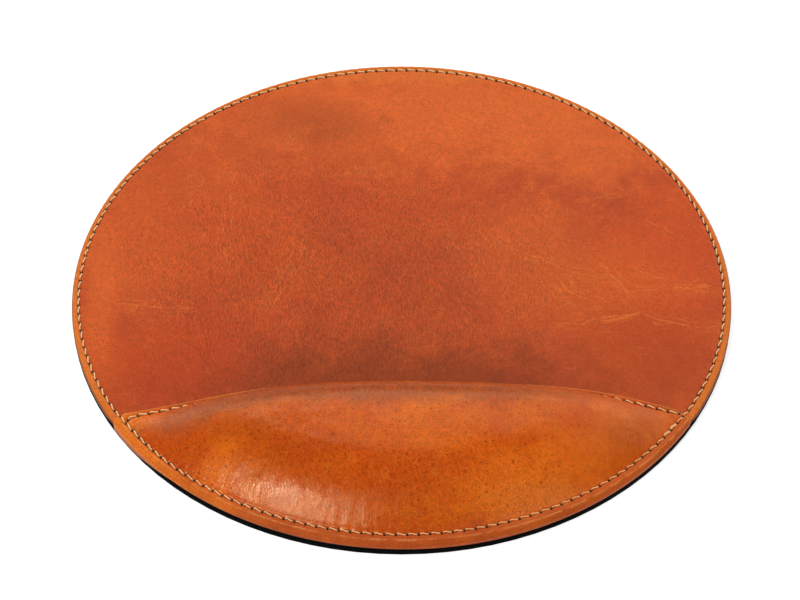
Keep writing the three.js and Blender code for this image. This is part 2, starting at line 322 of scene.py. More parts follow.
# A smooth piece that rides on the pad. Its points, in millimetres, and its masks come in lists of arrays.
def makePiece(name, points, faces, material, masks=None, sharpAngle=50):
    mesh = bpy.data.meshes.new(name)
    mesh.from_pydata((np.concatenate(points) * mm).tolist(), [], [list(face) for face in faces])
    for key, values in (masks or {}).items():
        mask = mesh.attributes.new(key, "FLOAT", "POINT")
        mask.data.foreach_set("value", np.concatenate(values).astype(np.float32))
    shape = bmesh.new()
    shape.from_mesh(mesh)
    bmesh.ops.remove_doubles(shape, verts=shape.verts, dist=1e-6)
    bmesh.ops.dissolve_degenerate(shape, edges=shape.edges, dist=1e-7)
    bmesh.ops.recalc_face_normals(shape, faces=shape.faces)
    shape.to_mesh(mesh)
    shape.free()
    mesh.shade_smooth()
    mesh.set_sharp_from_angle(angle=math.radians(sharpAngle))
    mesh.materials.append(material)
    piece = addObject(name, mesh)
    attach(piece, "root")
    print("made", name, len(mesh.vertices), "points")
    return piece


# Adds one step's masks, each in one or more stretches, to the masks of the steps before it
def addMasks(masks, step):
    for key, stretches in step.items():
        masks.setdefault(key, []).append(np.concatenate(stretches))


# Faces of a tube whose sections follow one another in the list of points
def tubeFaces(sectionCount, sides, isClosed):
    steps = sectionCount if isClosed else sectionCount - 1
    here = np.arange(steps)[:, None] * sides
    after = ((np.arange(steps)[:, None] + 1) % sectionCount) * sides
    side = np.arange(sides)[None, :]
    other = (side + 1) % sides
    return np.stack([here + side, after + side, after + other, here + other], axis=2).reshape(-1, 4).tolist()


# The same with its two ends closed
def cappedFaces(sectionCount, sides):
    faces = tubeFaces(sectionCount, sides, False)
    faces.append(tuple(range(sides - 1, -1, -1)))
    faces.append(tuple(range((sectionCount - 1) * sides, sectionCount * sides)))
    return faces


# Faces between rings that follow one another, each with as many points as the one outside it, or half
def ringFaces(counts):
    faces, start = [], 0
    for outer, inner in zip(counts, counts[1:]):
        first = start + outer
        if inner == outer:
            for i in range(outer):
                j = (i + 1) % outer
                faces.append((start + i, start + j, first + j, first + i))
        else:
            for i in range(inner):
                a, b, c = start + 2 * i, start + 2 * i + 1, start + (2 * i + 2) % outer
                j = (i + 1) % inner
                faces += [(a, b, first + i), (b, first + j, first + i), (b, c, first + j)]
        start = first
    return faces


# Node helpers, which add to the node tree that is being drawn

drawn = {"tree": None}


# A linear colour from its usual web code
def tint(code):
    parts = [int(code[i:i + 2], 16) / 255 for i in (1, 3, 5)]
    return tuple(p / 12.92 if p <= 0.04045 else ((p + 0.055) / 1.055) ** 2.4 for p in parts) + (1.0,)


# Links or sets the inputs of a node that are named or numbered in sockets
def setInputs(node, sockets):
    for key, value in sockets.items():
        if isinstance(value, bpy.types.NodeSocket):
            drawn["tree"].links.new(value, node.inputs[key])
        else:
            node.inputs[key].default_value = value


def put(kind, sockets=None, **settings):
    node = drawn["tree"].nodes.new(kind)
    for key, value in settings.items():
        setattr(node, key, value)
    setInputs(node, sockets or {})
    return node


def maths(operation, a, b=0.0):
    return put("ShaderNodeMath", {0: a, 1: b}, operation=operation).outputs[0]


def plus(a, b):
    return maths("ADD", a, b)


def minus(a, b):
    return maths("SUBTRACT", a, b)


def times(a, b):
    return maths("MULTIPLY", a, b)


# Masks, each times its share, added up
def summed(start, *shares, operation="ADD"):
    for mask, share in shares:
        start = maths(operation, start, times(mask, share))
    return start


# The largest of masks, each times its share
def largest(*shares):
    return summed(0.0, *shares, operation="MAXIMUM")


def vectorMaths(operation, a, b=(0, 0, 0)):
    return put("ShaderNodeVectorMath", {0: a, 1: b}, operation=operation).outputs["Vector"]


def scaled(vector, amount):
    return put("ShaderNodeVectorMath", {0: vector, "Scale": amount}, operation="SCALE").outputs["Vector"]


def blend(share, a, b):
    return put("ShaderNodeMix", {0: share, 6: a, 7: b}, data_type="RGBA").outputs[2]


def between(share, a, b):
    return put("ShaderNodeMix", {0: share, 2: a, 3: b}, data_type="FLOAT").outputs[0]


# Lays a colour over another, as strongly as a mask times a share
def stain(colour, mask, share, code):
    return blend(times(mask, share), colour, tint(code))


def remap(value, fromLow, fromHigh, toLow=0.0, toHigh=1.0):
    sockets = {0: value, 1: fromLow, 2: fromHigh, 3: toLow, 4: toHigh}
    return put("ShaderNodeMapRange", sockets, interpolation_type="SMOOTHSTEP").outputs[0]


def noiseAt(vector, scale, detail=2.0, roughness=0.5, distortion=0.0):
    sockets = {"Vector": vector, "Scale": scale, "Detail": detail, "Roughness": roughness}
    return put("ShaderNodeTexNoise", {**sockets, "Distortion": distortion}).outputs["Fac"]


# A place pushed about by a noise
def wobbled(place, scale, detail, amount):
    noise = put("ShaderNodeTexNoise", {"Vector": place, "Scale": scale, "Detail": detail}).outputs["Color"]
    return vectorMaths("ADD", place, scaled(noise, amount))


def cellsAt(vector, scale=1.0, randomness=1.0, **settings):
    sockets = {"Vector": vector, "Scale": scale, "Randomness": randomness}
    return put("ShaderNodeTexVoronoi", sockets, **settings).outputs


def seamsBetween(vector, scale=1.0, randomness=1.0):
    return cellsAt(vector, scale, randomness, feature="DISTANCE_TO_EDGE")["Distance"]


# A mask that the mesh carries
def meshMask(name):
    return put("ShaderNodeAttribute", attribute_name=name).outputs["Fac"]


def bumped(height, strength, depth):
    return put("ShaderNodeBump", {"Height": height, "Strength": strength, "Distance": depth * mm}).outputs[0]


# A node group with the first values of its inputs, which are places or numbers
def newGroup(name, **inputs):
    drawn["tree"] = bpy.data.node_groups.new(name, "ShaderNodeTree")
    for key, value in inputs.items():
        kind = "NodeSocketVector" if isinstance(value, tuple) else "NodeSocketFloat"
        socket = drawn["tree"].interface.new_socket(name=key, in_out="INPUT", socket_type=kind)
        socket.default_value = value
    return put("NodeGroupInput").outputs


def endGroup(**outputs):
    for key in outputs:
        drawn["tree"].interface.new_socket(name=key, in_out="OUTPUT", socket_type="NodeSocketFloat")
    put("NodeGroupOutput", outputs)
    return drawn["tree"]


def useGroup(group, **sockets):
    return put("ShaderNodeGroup", sockets, node_tree=group).outputs


# Shared effects

def makeGrainGroup():
    given = newGroup("leatherGrain", Place=(0, 0, 0), Size=0.8, PoreSize=2.4)
    place = given["Place"]
    bent = wobbled(place, 0.9, 2.0, 1.4)
    shrunk = vectorMaths("DIVIDE", bent, given["Size"])
    pebble = remap(seamsBetween(shrunk), 0.0, 0.28)
    fine = noiseAt(shrunk, 2.6, 3.0, 0.6)
    spots = cellsAt(vectorMaths("DIVIDE", bent, given["PoreSize"]))["Distance"]
    thinned = remap(noiseAt(place, 0.11, 1.0), 0.36, 0.56)
    speckle = remap(noiseAt(place, 1.9, 2.0, 0.7), 0.34, 0.66)
    blotch = remap(noiseAt(place, 0.5, 2.0, 0.6), 0.3, 0.7)
    return endGroup(
        Height=summed(0.0, (pebble, 0.7), (fine, 0.5)),
        Pores=times(remap(spots, 0.3, 0.1), thinned),
        Tone=summed(0.0, (speckle, 0.6), (pebble, 0.2), (blotch, 0.2)),
    )


def makeMarblingGroup():
    given = newGroup("marbling", Place=(0, 0, 0), Size=40.0, Warp=1.2)
    shrunk = vectorMaths("DIVIDE", given["Place"], given["Size"])
    return endGroup(Mask=remap(noiseAt(shrunk, 1.0, 5.0, 0.6, given["Warp"]), 0.32, 0.68))


# The place as seen from a group's middle, turned by its angle
def fromMiddle(given):
    moved = vectorMaths("SUBTRACT", given["Place"], given["Middle"])
    sockets = {"Vector": moved, "Angle": times(given["Angle"], -1.0)}
    return put("ShaderNodeVectorRotate", sockets, rotation_type="Z_AXIS").outputs[0]


# A soft band of fine pale hairlines with a bend
def makeCreaseGroup():
    given = newGroup("crease", Place=(0, 0, 0), Middle=(0, 0, 0), Angle=0.0, Bend=0.0, Length=20.0, Width=2.0)
    parts = put("ShaderNodeSeparateXYZ", {0: fromMiddle(given)}).outputs
    off = minus(parts["Y"], times(times(parts["X"], parts["X"]), given["Bend"]))
    band = remap(maths("DIVIDE", maths("ABSOLUTE", off), given["Width"]), 1.0, 0.1)
    reach = maths("DIVIDE", maths("ABSOLUTE", parts["X"]), times(given["Length"], 0.5))
    hairs = put("ShaderNodeCombineXYZ", {"X": times(parts["X"], 0.12), "Y": off, "Z": given["Angle"]})
    lines = remap(noiseAt(hairs.outputs[0], 1.0, 2.0, 0.6), 0.47, 0.62)
    return endGroup(Mask=times(times(band, remap(reach, 1.0, 0.4)), lines))


# A fine irregular net of stretched skin, in patches or all over
def makeNetGroup():
    given = newGroup("skinNet", Place=(0, 0, 0), Size=3.0, Width=0.13, Cover=0.0)
    shrunk = vectorMaths("DIVIDE", given["Place"], given["Size"])
    seams = seamsBetween(wobbled(shrunk, 0.6, 4.0, 1.1))
    patchy = maths("MAXIMUM", remap(noiseAt(shrunk, 0.5, 3.0, 0.6), 0.46, 0.68), given["Cover"])
    return endGroup(Mask=times(remap(seams, given["Width"], 0.0), patchy))


# Scattered soft spots, some fainter than others
def makeSpotGroup():
    given = newGroup("scatteredSpots", Place=(0, 0, 0), Size=3.0)
    spread = vectorMaths("DIVIDE", wobbled(given["Place"], 1.1, 2.0, 1.3), given["Size"])
    cells = cellsAt(spread, voronoi_dimensions="2D")
    each = put("ShaderNodeSeparateXYZ", {0: cells["Color"]}).outputs["X"]
    return endGroup(Mask=times(remap(cells["Distance"], 0.26, 0.06), remap(each, 0.3, 0.95)))


def makeFibreGroup():
    given = newGroup("fibres", Place=(0, 0, 0), Width=0.8, Length=7.0)
    sizes = {"X": given["Width"], "Y": given["Length"], "Z": given["Length"]}
    stretched = vectorMaths("DIVIDE", given["Place"], put("ShaderNodeCombineXYZ", sizes).outputs[0])
    return endGroup(Mask=remap(noiseAt(stretched, 1.0, 3.0, 0.6, 0.5), 0.3, 0.7))


# A soft-edged area
def makePatchGroup():
    given = newGroup("softPatch", Place=(0, 0, 0), Middle=(0, 0, 0), Size=(20, 20, 100), Angle=0.0)
    shrunk = vectorMaths("DIVIDE", fromMiddle(given), given["Size"])
    reach = put("ShaderNodeVectorMath", {0: shrunk}, operation="LENGTH").outputs["Value"]
    ragged = times(minus(noiseAt(given["Place"], 0.09, 4.0, 0.65), 0.5), 1.3)
    return endGroup(Mask=remap(plus(reach, ragged), 1.15, 0.25))


# What the sewing and the cut edges leave on a leather, from the mesh's own masks
def makeSewnGroup():
    given = newGroup("sewnMarks", Place=(0, 0, 0))
    rough = times(minus(noiseAt(given["Place"], 1.6, 2.0), 0.5), 0.5)
    marks = {}
    for key, low, high in [("Hole", 0.25, 0.7), ("Valley", 0.2, 1.0), ("Rim", 0.2, 0.9)]:
        mask = meshMask(key.lower())
        marks[key] = remap(plus(mask, times(mask, rough)), low, high)
    return endGroup(**marks)


grainGroup = makeGrainGroup()
marblingGroup = makeMarblingGroup()
creaseGroup = makeCreaseGroup()
fibreGroup = makeFibreGroup()
netGroup = makeNetGroup()
spotGroup = makeSpotGroup()
patchGroup = makePatchGroup()
sewnGroup = makeSewnGroup()
print("shared effects made")


def newMaterial(name):
    material = bpy.data.materials.new(name)
    material.use_nodes = True
    drawn["tree"] = material.node_tree
    place = scaled(put("ShaderNodeTexCoord").outputs["Object"], 1 / mm)
    return material, material.node_tree.nodes["Principled BSDF"], place


def marbling(place, size, warp):
    return useGroup(marblingGroup, Place=place, Size=size, Warp=warp)["Mask"]


def fibresAt(place, width, length):
    return useGroup(fibreGroup, Place=place, Width=width, Length=length)["Mask"]


def softArea(place, middle, size, angle=0.0):
    return useGroup(patchGroup, Place=place, Middle=middle, Size=size, Angle=math.radians(angle))["Mask"]


# Lays soft areas over a colour, at the height where their leather is
def stainAreas(colour, place, look, areas, height):
    for x, y, sizeX, sizeY, angle, name, share in areas:
        mask = softArea(place, (x, y, height), (sizeX, sizeY, 100), angle)
        colour = stain(colour, mask, share, look[name])
    return colour


# Lightens and darkens a colour by a swing that is about nought
def toned(colour, swing):
    return scaled(colour, plus(1.0, swing))


def dress(shader, look, colour, roughness, height):
    setInputs(shader, {
        "Base Color": colour,
        "Roughness": roughness,
        "Normal": bumped(height, *look["relief"]),
        "Specular IOR Level": look["specular"],
        "Specular Tint": look.get("specularTint", (1.0, 1.0, 1.0, 1.0)),
    })


# The mouse surface's leather

surfaceLook = {
    "brown": "#bd4721",
    "orange": "#d95d1f",
    # deep brown of the pores and clouds, also used as painted shade beside the wrist rest
    "deepToneAndPaintedShade": "#8a3614",
    "red": "#c2400e",
    "vivid": "#f25c1c",
    # paler orange, partly painted light from the rear lamp
    "light": "#ea6c2c",
    # pale of the creases and the net, also a painted sheen along the rear stitches
    "pale": "#f58c3e",
    # border outside the stitches: the leather's own orange with a painted highlight on its rounded edge
    "rim": "#ec842e",
    # painted shade inside the needle holes
    "thread hole": "#34120a",
    # dark brown of the burnished edge, also painted shade in the stitch grooves
    "burnishedEdgeAndGrooveShade": "#8c3d17",
    "blackened": "#080707",
    "blackenedRange": (0.3, 0.6),
    "marbling": (52.0, 0.6),    # size and warp
    "marbled": 0.6,             # how strongly the orange marbles the brown
    "clouds": (6.0, 1.6),
    "cloudy": 0.1,
    "fibres": (0.22, 1.8),      # width and length
    "grain": 0.75,
    "pores": 0.3,
    "creaseBend": (0.13, 3.0, 5.0),  # how the creases wander: the noise's scale and detail, and the distance
    "creases": 0.48,
    "netSize": 5.0,
    "net": 0.1,
    "margin": 0.7,
    "edge": 0.85,
    "valley": 0.12,
    "toneRange": (0.1, 0.9),
    "tone": 0.16,               # how much the grain lightens and darkens the colour
    "streakTone": 0.38,         # the same where the grain runs in streaks
    "streaks": 0.75,
    "streaked": ((-28, 4, 0), (118, 92, 100)),
    "roughness": 0.44,
    "wear": 0.06,
    "holeRoughness": 0.4,
    "heights": (0.6, 0.3, 1.0), # of the grain, the fibres and the creases
    "relief": (0.5, 0.12),      # strength and depth
    "specular": 0.28,
    "specularTint": (1.0, 0.86, 0.62, 1.0),
}

# Creases: middle x and y, angle in degrees, bend, length, width of the band and strength
surfaceCreases = [
    (60, 14, -27, 0.004, 66, 5.0, 0.75),
    (86, 4, -56, -0.012, 36, 5.0, 0.8),
    (107, 1.5, 8, -0.003, 46, 5.0, 0.7),
    (104, 6, -24, 0.0, 34, 5.0, 0.55),
    (79, -14.5, 13, 0.002, 46, 3.6, 0.9),
    (110, -17, -11, 0.006, 46, 4.4, 0.8),
    (70, -2, -33, 0.006, 30, 9.0, 0.7),
    (82, 48.5, 30, -0.02, 24, 3.4, 0.5),
    (105, 33, -38, -0.01, 22, 3.4, 0.5),
    (32, 89, -36, 0.006, 48, 4.6, 0.5),
    (24, 80, -48, 0.004, 40, 4.0, 0.35),
    (48, 66, -30, 0.01, 40, 4.0, 0.35),
    (-96, -8, -3, 0.002, 40, 6.0, 0.6),
    (-70, 34, 88, 0.002, 60, 5.0, 0.5),
    (-20, 62, 22, 0.004, 40, 5.0, 0.3),
    (-46, 8, 70, 0.003, 50, 8.0, 0.4),
    (20, 26, -70, 0.004, 30, 5.0, 0.25),
]

# Soft areas: middle x and y, size x and y, angle in degrees, colour and strength
surfaceAreas = [
    # Painted light, in part: this area and those at (-66, 78) and (66, 82) lighten the rear, where the rear
    # lamp falls strongest; the rest is the leather's own paler tone
    (16, 98, 120, 46, -4, "light", 0.85),
    (50, 14, 38, 40, 0, "light", 0.5),
    (-36, 90, 34, 16, -6, "deepToneAndPaintedShade", 0.4),
    # Painted shade, in part: this area and the next darken the leather towards the wrist rest, which shades
    # it; the rest is the leather's own darker tone
    (-6, 2, 96, 44, 0, "deepToneAndPaintedShade", 0.2),
    (0, -44, 92, 28, 0, "deepToneAndPaintedShade", 0.8),
    # Painted sheen along the rear stitches, where light grazes the leather from the rear
    (0, 119, 80, 9, 0, "pale", 0.3),
    # Painted light from the rear lamp, in part
    (-66, 78, 40, 26, 30, "light", 0.3),
    (-118, 0, 9, 60, 0, "light", 0.5),
    # Painted shade of the wrist rest along its rear seam
    (0, -52, 130, 20, 0, "deepToneAndPaintedShade", 0.4),
    # Painted light from the rear lamp, in part
    (66, 82, 46, 32, -35, "light", 0.6),
    (-108, 26, 24, 60, 8, "light", 0.2),
    (106, 20, 34, 56, -8, "vivid", 0.35),
    (80, 6, 34, 22, -20, "orange", 0.5),
    (-90, -36, 36, 30, 20, "red", 0.4),
    (96, -30, 34, 30, -20, "red", 0.4),
    # Painted shade behind the wrist rest's right end
    (98, -36, 40, 30, -20, "deepToneAndPaintedShade", 0.15),
]


def creaseMasks(place):
    scale, detail, distance = surfaceLook["creaseBend"]
    bent = wobbled(place, scale, detail, distance)
    bent = vectorMaths("SUBTRACT", bent, (distance / 2, distance / 2, distance / 2))
    for x, y, angle, bend, length, width, strength in surfaceCreases:
        crease = useGroup(creaseGroup, Place=bent, Middle=(x, y, 0), Angle=math.radians(angle), Bend=bend,
                          Length=length, Width=width)
        yield crease["Mask"], strength


def surfaceLeatherMaterial():
    material, shader, place = newMaterial("surfaceLeather")
    look = surfaceLook
    marbled = marbling(place, *look["marbling"])
    colour = stain(tint(look["brown"]), marbled, look["marbled"], look["orange"])
    colour = stainAreas(colour, place, look, surfaceAreas, 0)
    cloudy = marbling(place, *look["clouds"])
    colour = stain(colour, cloudy, look["cloudy"], look["deepToneAndPaintedShade"])
    grain = useGroup(grainGroup, Place=place, Size=look["grain"])
    colour = stain(colour, grain["Pores"], look["pores"], look["deepToneAndPaintedShade"])
    creases = largest(*creaseMasks(place))
    colour = stain(colour, creases, look["creases"], look["pale"])
    net = useGroup(netGroup, Place=place, Size=look["netSize"])["Mask"]
    colour = stain(colour, net, look["net"], look["pale"])
    # Paler outside the stitches: partly the leather's own tone, partly a painted highlight on the rounded
    # border
    colour = stain(colour, meshMask("margin"), look["margin"], look["rim"])
    fibres = fibresAt(place, *look["fibres"])
    streaked = softArea(place, *look["streaked"])
    streaks = between(times(streaked, look["streaks"]), grain["Tone"], fibres)
    swing = between(streaked, look["tone"], look["streakTone"])
    colour = toned(colour, times(remap(streaks, *look["toneRange"], -1.0, 1.0), swing))
    sewn = useGroup(sewnGroup, Place=place)
    colour = stain(colour, sewn["Rim"], look["edge"], look["burnishedEdgeAndGrooveShade"])
    # Painted shade in the pressed groove of each stitch row
    colour = stain(colour, sewn["Valley"], look["valley"], look["burnishedEdgeAndGrooveShade"])
    # The needle holes painted near black: painted shade inside them
    colour = stain(colour, sewn["Hole"], 1.0, look["thread hole"])
    # Black on the edge above the mat, and on the whole edge where the cover lies over it
    colour = stain(colour, remap(meshMask("blackened"), *look["blackenedRange"]), 1.0, look["blackened"])
    height = summed(0.0, *zip((grain["Height"], fibres, creases), look["heights"]))
    worn = [(mask, look["wear"]) for mask in (cloudy, fibres)]
    roughness = summed(look["roughness"], (sewn["Hole"], look["holeRoughness"]), *worn)
    dress(shader, look, colour, roughness, height)
    return material


# The wrist rest's leather

restLook = {
    "amber": "#dc5a08",
    "red": "#c64604",
    "deep": "#ac3a04",
    "bright": "#f07c0c",
    # duller tan, partly a painted sheen along the crest
    "tan": "#944828",
    "brown": "#86400e",
    "speck": "#7a2404",
    "spot": "#902a06",
    "vein": "#ea7c26",
    # brighter orange, partly painted light on the front slope
    "glowing": "#fa7c1c",
    "flange": "#f07a0c",
    "flange shade": "#b24402",
    # painted highlight along the flange's ridge
    "ridge": "#ffa860",
    # pale of the scuffs, and a painted highlight on the gathers' crests
    "pale": "#ee9444",
    # pale cut edge, partly a painted highlight
    "raw": "#eaa660",
    # painted shade inside the needle holes
    "thread hole": "#34120a",
    # dark brown of the burnished edge, also painted shade in the stitch grooves
    "burnishedEdgeAndGrooveShade": "#7c3410",
    "marbling": (24.0, 1.4),
    "amberShare": 0.5,          # how much of the marbling the plain amber covers
    "clouds": (5.0, 1.2),
    "cloudy": 0.34,
    "fibres": (0.8, 2.4),
    "grain": 0.9,
    "poreSize": 1.15,
    "pores": 0.42,
    "spotSizes": (2.5, 1.35),
    "spotShares": (0.7, 0.5),
    "calm": ((88, -78, 10), (44, 40, 100)),       # where the marks and the grain are fainter
    "calmShare": 0.45,
    "areaHeight": 10,                             # about that of the padded leather
    "net": {"Size": 2.7, "Width": 0.3, "Cover": 0.45},
    "netStretch": (1.3, 0.8, 0.9),
    "netShare": 0.5,
    "stretched": ((20, -98, 10), (58, 20, 100)),  # where the net shows most
    "unstretched": 0.6,                           # how strongly it shows elsewhere
    "flangeShare": 0.85,
    "sunny": ((-100, -70, 6), (70, 58, 100)),     # where the flange is palest, partly painted light from the left
    "sunnyRight": ((92, -84, 6), (54, 40, 100)),
    "sunnyShare": 0.25,                           # on the right, partly painted light, and in the marbling
    "ridgeShare": 0.5,
    "ridgeNoise": (0.16, 3.0, 0.6),               # which breaks up the painted highlight on the flange's ridge
    "ridgeBreaks": (0.36, 0.6),
    "puckers": 0.2,
    "toneRange": (0.1, 0.9),
    "tone": 0.2,
    "valley": 0.3,
    "edge": 0.6,
    "roughness": 0.17,
    "cloudRoughness": 0.07,
    "cutRoughness": 0.5,                          # in the needle holes and where the leather is cut
    "flangeRoughness": 0.36,
    "heights": (0.4, 0.3, 0.3, 0.4),              # of the grain, its tone, the fibres and the net
    "relief": (0.4, 0.12),
    "specular": 0.5,
    "specularTint": (1.0, 0.82, 0.58, 1.0),
}

# Soft areas of the wrist rest, written like the mouse surface's
restAreas = [
    (-86, -80, 15, 11, -48, "red", 0.45),
    # Painted light, in part: this area and those at (46, -98), (62, -86) and (42, -105) brighten the front
    # slope where the front lamps fall; the rest is the leather's own brighter orange
    (-71, -93, 10, 20, -44, "glowing", 0.7),
    (-106, -68, 10, 16, -50, "bright", 0.95),
    (-36, -86, 30, 11, 0, "deep", 0.6),
    (0, -96, 44, 14, 0, "red", 0.85),
    # Painted light on the front slope, in part
    (46, -98, 38, 13, 10, "glowing", 0.85),
    (86, -76, 26, 14, 30, "brown", 0.22),
    (-60, -76, 34, 9, -14, "red", 0.45),
    # Partly a painted sheen: a duller tan along the crest's left, where light grazes it from the rear
    (-66, -64, 44, 7, 10, "tan", 0.8),
    (88, -72, 10, 8, 30, "brown", 0.12),
    # Painted light on the front slope, in part
    (62, -86, 26, 12, 25, "glowing", 0.5),
    # Partly a painted sheen: a duller tan along the crest, where light grazes it from the rear
    (0, -58, 104, 9, 0, "tan", 0.85),
    # Pale scuffing at the front right, partly a painted highlight
    (48, -103, 24, 7, 14, "pale", 0.35),
    # Painted light on the front slope, in part
    (42, -105, 20, 8, 12, "glowing", 0.35),
    (-56, -68, 28, 13, 6, "brown", 0.16),
    (-54, -79, 22, 10, 0, "brown", 0.14),
    (0, -118, 60, 5, 0, "red", 0.4),
]

# Areas where the wax has dulled: middle, size and added roughness
restDull = [
    ((88, -62, 8), (58, 26, 100), 0.34),
    ((-86, -60, 8), (52, 18, 100), 0.26),
    ((-44, -108, 8), (46, 8, 100), 0.1),
]


# The flange's amber, paler at the left and the right front: partly its own tone, partly painted light
def flangeAmber(place, marbled):
    share = restLook["sunnyShare"]
    left, right = softArea(place, *restLook["sunny"]), softArea(place, *restLook["sunnyRight"])
    return stain(tint(restLook["flange shade"]), largest((left, 1.0), (right, share), (marbled, share)), 1.0,
                 restLook["flange"])


def restLeatherMaterial():
    material, shader, place = newMaterial("restLeather")
    look = restLook
    marbled = marbling(place, *look["marbling"])
    colour = stain(tint(look["red"]), marbled, 1.0, look["bright"])
    colour = blend(look["amberShare"], colour, tint(look["amber"]))
    colour = stainAreas(colour, place, look, restAreas, look["areaHeight"])
    cloudy = marbling(place, *look["clouds"])
    colour = stain(colour, cloudy, look["cloudy"], look["red"])
    grain = useGroup(grainGroup, Place=place, Size=look["grain"], PoreSize=look["poreSize"])
    lively = between(softArea(place, *look["calm"]), 1.0, look["calmShare"])
    colour = stain(colour, times(grain["Pores"], look["pores"]), lively, look["speck"])
    spots = [useGroup(spotGroup, Place=place, Size=size)["Mask"] for size in look["spotSizes"]]
    colour = stain(colour, largest(*zip(spots, look["spotShares"])), lively, look["spot"])
    upright = vectorMaths("MULTIPLY", place, look["netStretch"])
    net = useGroup(netGroup, Place=upright, **look["net"])["Mask"]
    net = times(net, between(softArea(place, *look["stretched"]), look["unstretched"], 1.0))
    colour = stain(colour, net, look["netShare"], look["vein"])
    flange = meshMask("flange")
    colour = blend(times(flange, look["flangeShare"]), colour, flangeAmber(place, marbled))
    # Painted highlight along the flange's ridge, broken up by a noise
    broken = remap(noiseAt(place, *look["ridgeNoise"]), *look["ridgeBreaks"])
    colour = stain(colour, times(meshMask("ridge"), broken), look["ridgeShare"], look["ridge"])
    # Painted highlight on the crests of the gathers
    colour = stain(colour, meshMask("pucker"), look["puckers"], look["pale"])
    swing = remap(grain["Tone"], *look["toneRange"], -look["tone"], look["tone"])
    colour = toned(colour, times(swing, lively))
    sewn, raw = useGroup(sewnGroup, Place=place), meshMask("raw")
    # Painted shade in the pressed groove of each stitch row
    colour = stain(colour, sewn["Valley"], look["valley"], look["burnishedEdgeAndGrooveShade"])
    colour = stain(colour, sewn["Rim"], look["edge"], look["burnishedEdgeAndGrooveShade"])
    # The cut edge paler: partly its raw fibres, partly a painted highlight where it catches light
    colour = stain(colour, raw, 1.0, look["raw"])
    # The needle holes painted near black: painted shade inside them
    colour = stain(colour, sewn["Hole"], 1.0, look["thread hole"])
    fibres = fibresAt(place, *look["fibres"])
    height = summed(0.0, *zip((grain["Height"], grain["Tone"], fibres, net), look["heights"]))
    dull = [(softArea(place, middle, size), share) for middle, size, share in restDull]
    dull += [(mask, look["cutRoughness"]) for mask in (sewn["Hole"], raw)]
    dull.append((flange, look["flangeRoughness"]))
    roughness = summed(look["roughness"], (cloudy, look["cloudRoughness"]), (largest(*dull), 1.0))
    dress(shader, look, colour, roughness, height)
    return material


# Thread, mat and foam

threadLook = {
    "light": "#fff0c4",
    "dark": "#ffdca0",
    # painted shade on the thread
    "threadShade": "#ffc688",
    # painted shade where the thread dives into a hole
    "sunk": "#3c1809",
    "hair": (6.0, 3.0, 0.65),   # the noise's scale, detail and roughness
    "uneven": (12.0, 1.0),
    "unevenShare": 0.1,
    "threadShadeArea": ((60, -100, 5), (130, 70, 40)),  # where the thread is painted darker, as painted shade at the front right
    "threadShadeShare": 0.85,
    "roughness": 0.6,
    "hairRoughness": 0.15,
    "relief": (0.5, 0.06),
    "specular": 0.35,
}


def threadMaterial():
    material, shader, place = newMaterial("waxedThread")
    look = threadLook
    hair = noiseAt(place, *look["hair"])
    # Lighter on the plies' crests and darker between them: painted shade in the grooves of the twist
    colour = stain(tint(look["dark"]), meshMask("ply"), 1.0, look["light"])
    colour = stain(colour, plus(hair, marbling(place, *look["uneven"])), look["unevenShare"], look["dark"])
    # Painted shade on the thread at the front right
    colour = stain(colour, softArea(place, *look["threadShadeArea"]), look["threadShadeShare"], look["threadShade"])
    # Painted shade where the thread dives into its holes
    colour = stain(colour, meshMask("sunk"), 1.0, look["sunk"])
    dress(shader, look, colour, summed(look["roughness"], (hair, look["hairRoughness"])), hair)
    return material


matLook = {
    "black": "#020202",
    "dusty": "#090808",
    "dust": (18.0, 1.0),
    "cell": 1.6,
    "cellRandomness": 0.15,
    "grooves": (0.08, 0.26),    # where a cell begins and ends to rise from its seam
    "pit": (3.2, 3.0, 0.6),
    "pits": 0.35,
    "roughness": 0.9,
    "pitRoughness": 0.12,
    "relief": (0.6, 0.25),
    "specular": 0.06,
}


def matMaterial():
    material, shader, place = newMaterial("nonSlipRubber")
    look = matLook
    grip = remap(seamsBetween(place, 1 / look["cell"], look["cellRandomness"]), *look["grooves"])
    pits = noiseAt(place, *look["pit"])
    colour = stain(tint(look["black"]), marbling(place, *look["dust"]), grip, look["dusty"])
    roughness = summed(look["roughness"], (pits, look["pitRoughness"]))
    dress(shader, look, colour, roughness, summed(grip, (pits, look["pits"])))
    return material


foamLook = {
    "light": "#e9e2cd",
    # yellowed tone of aged foam, also painted shade in the cell hollows
    "yellowedAndPoreShade": "#c4b894",
    "cell": 0.9,
    "walls": (0.5, 0.1),
    "ageing": (30.0, 1.0),
    "aged": 0.3,
    "roughness": 0.91,
    "agedRoughness": 0.04,
    "relief": (0.8, 0.4),
    "specular": 0.1,
}


def foamMaterial():
    material, shader, place = newMaterial("openCellFoam")
    look = foamLook
    cells = cellsAt(place, 1 / look["cell"])["Distance"]
    aged = marbling(place, *look["ageing"])
    # The cell hollows painted darker: painted shade; the next line yellows the foam by age
    colour = stain(tint(look["light"]), remap(cells, *look["walls"]), 1.0, look["yellowedAndPoreShade"])
    colour = stain(colour, aged, look["aged"], look["yellowedAndPoreShade"])
    dress(shader, look, colour, summed(look["roughness"], (aged, look["agedRoughness"])), cells)
    return material


surfaceLeather = surfaceLeatherMaterial()
restLeather = restLeatherMaterial()
waxedThread = threadMaterial()
nonSlipRubber = matMaterial()
openCellFoam = foamMaterial()
print("materials made")


# The non-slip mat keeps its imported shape

matPiece = frame["nodes"]["non_slip_mat"]
matPiece.data.materials.clear()
matPiece.data.materials.append(nonSlipRubber)


# The mouse surface: one sheet in rings, finest round the stitches

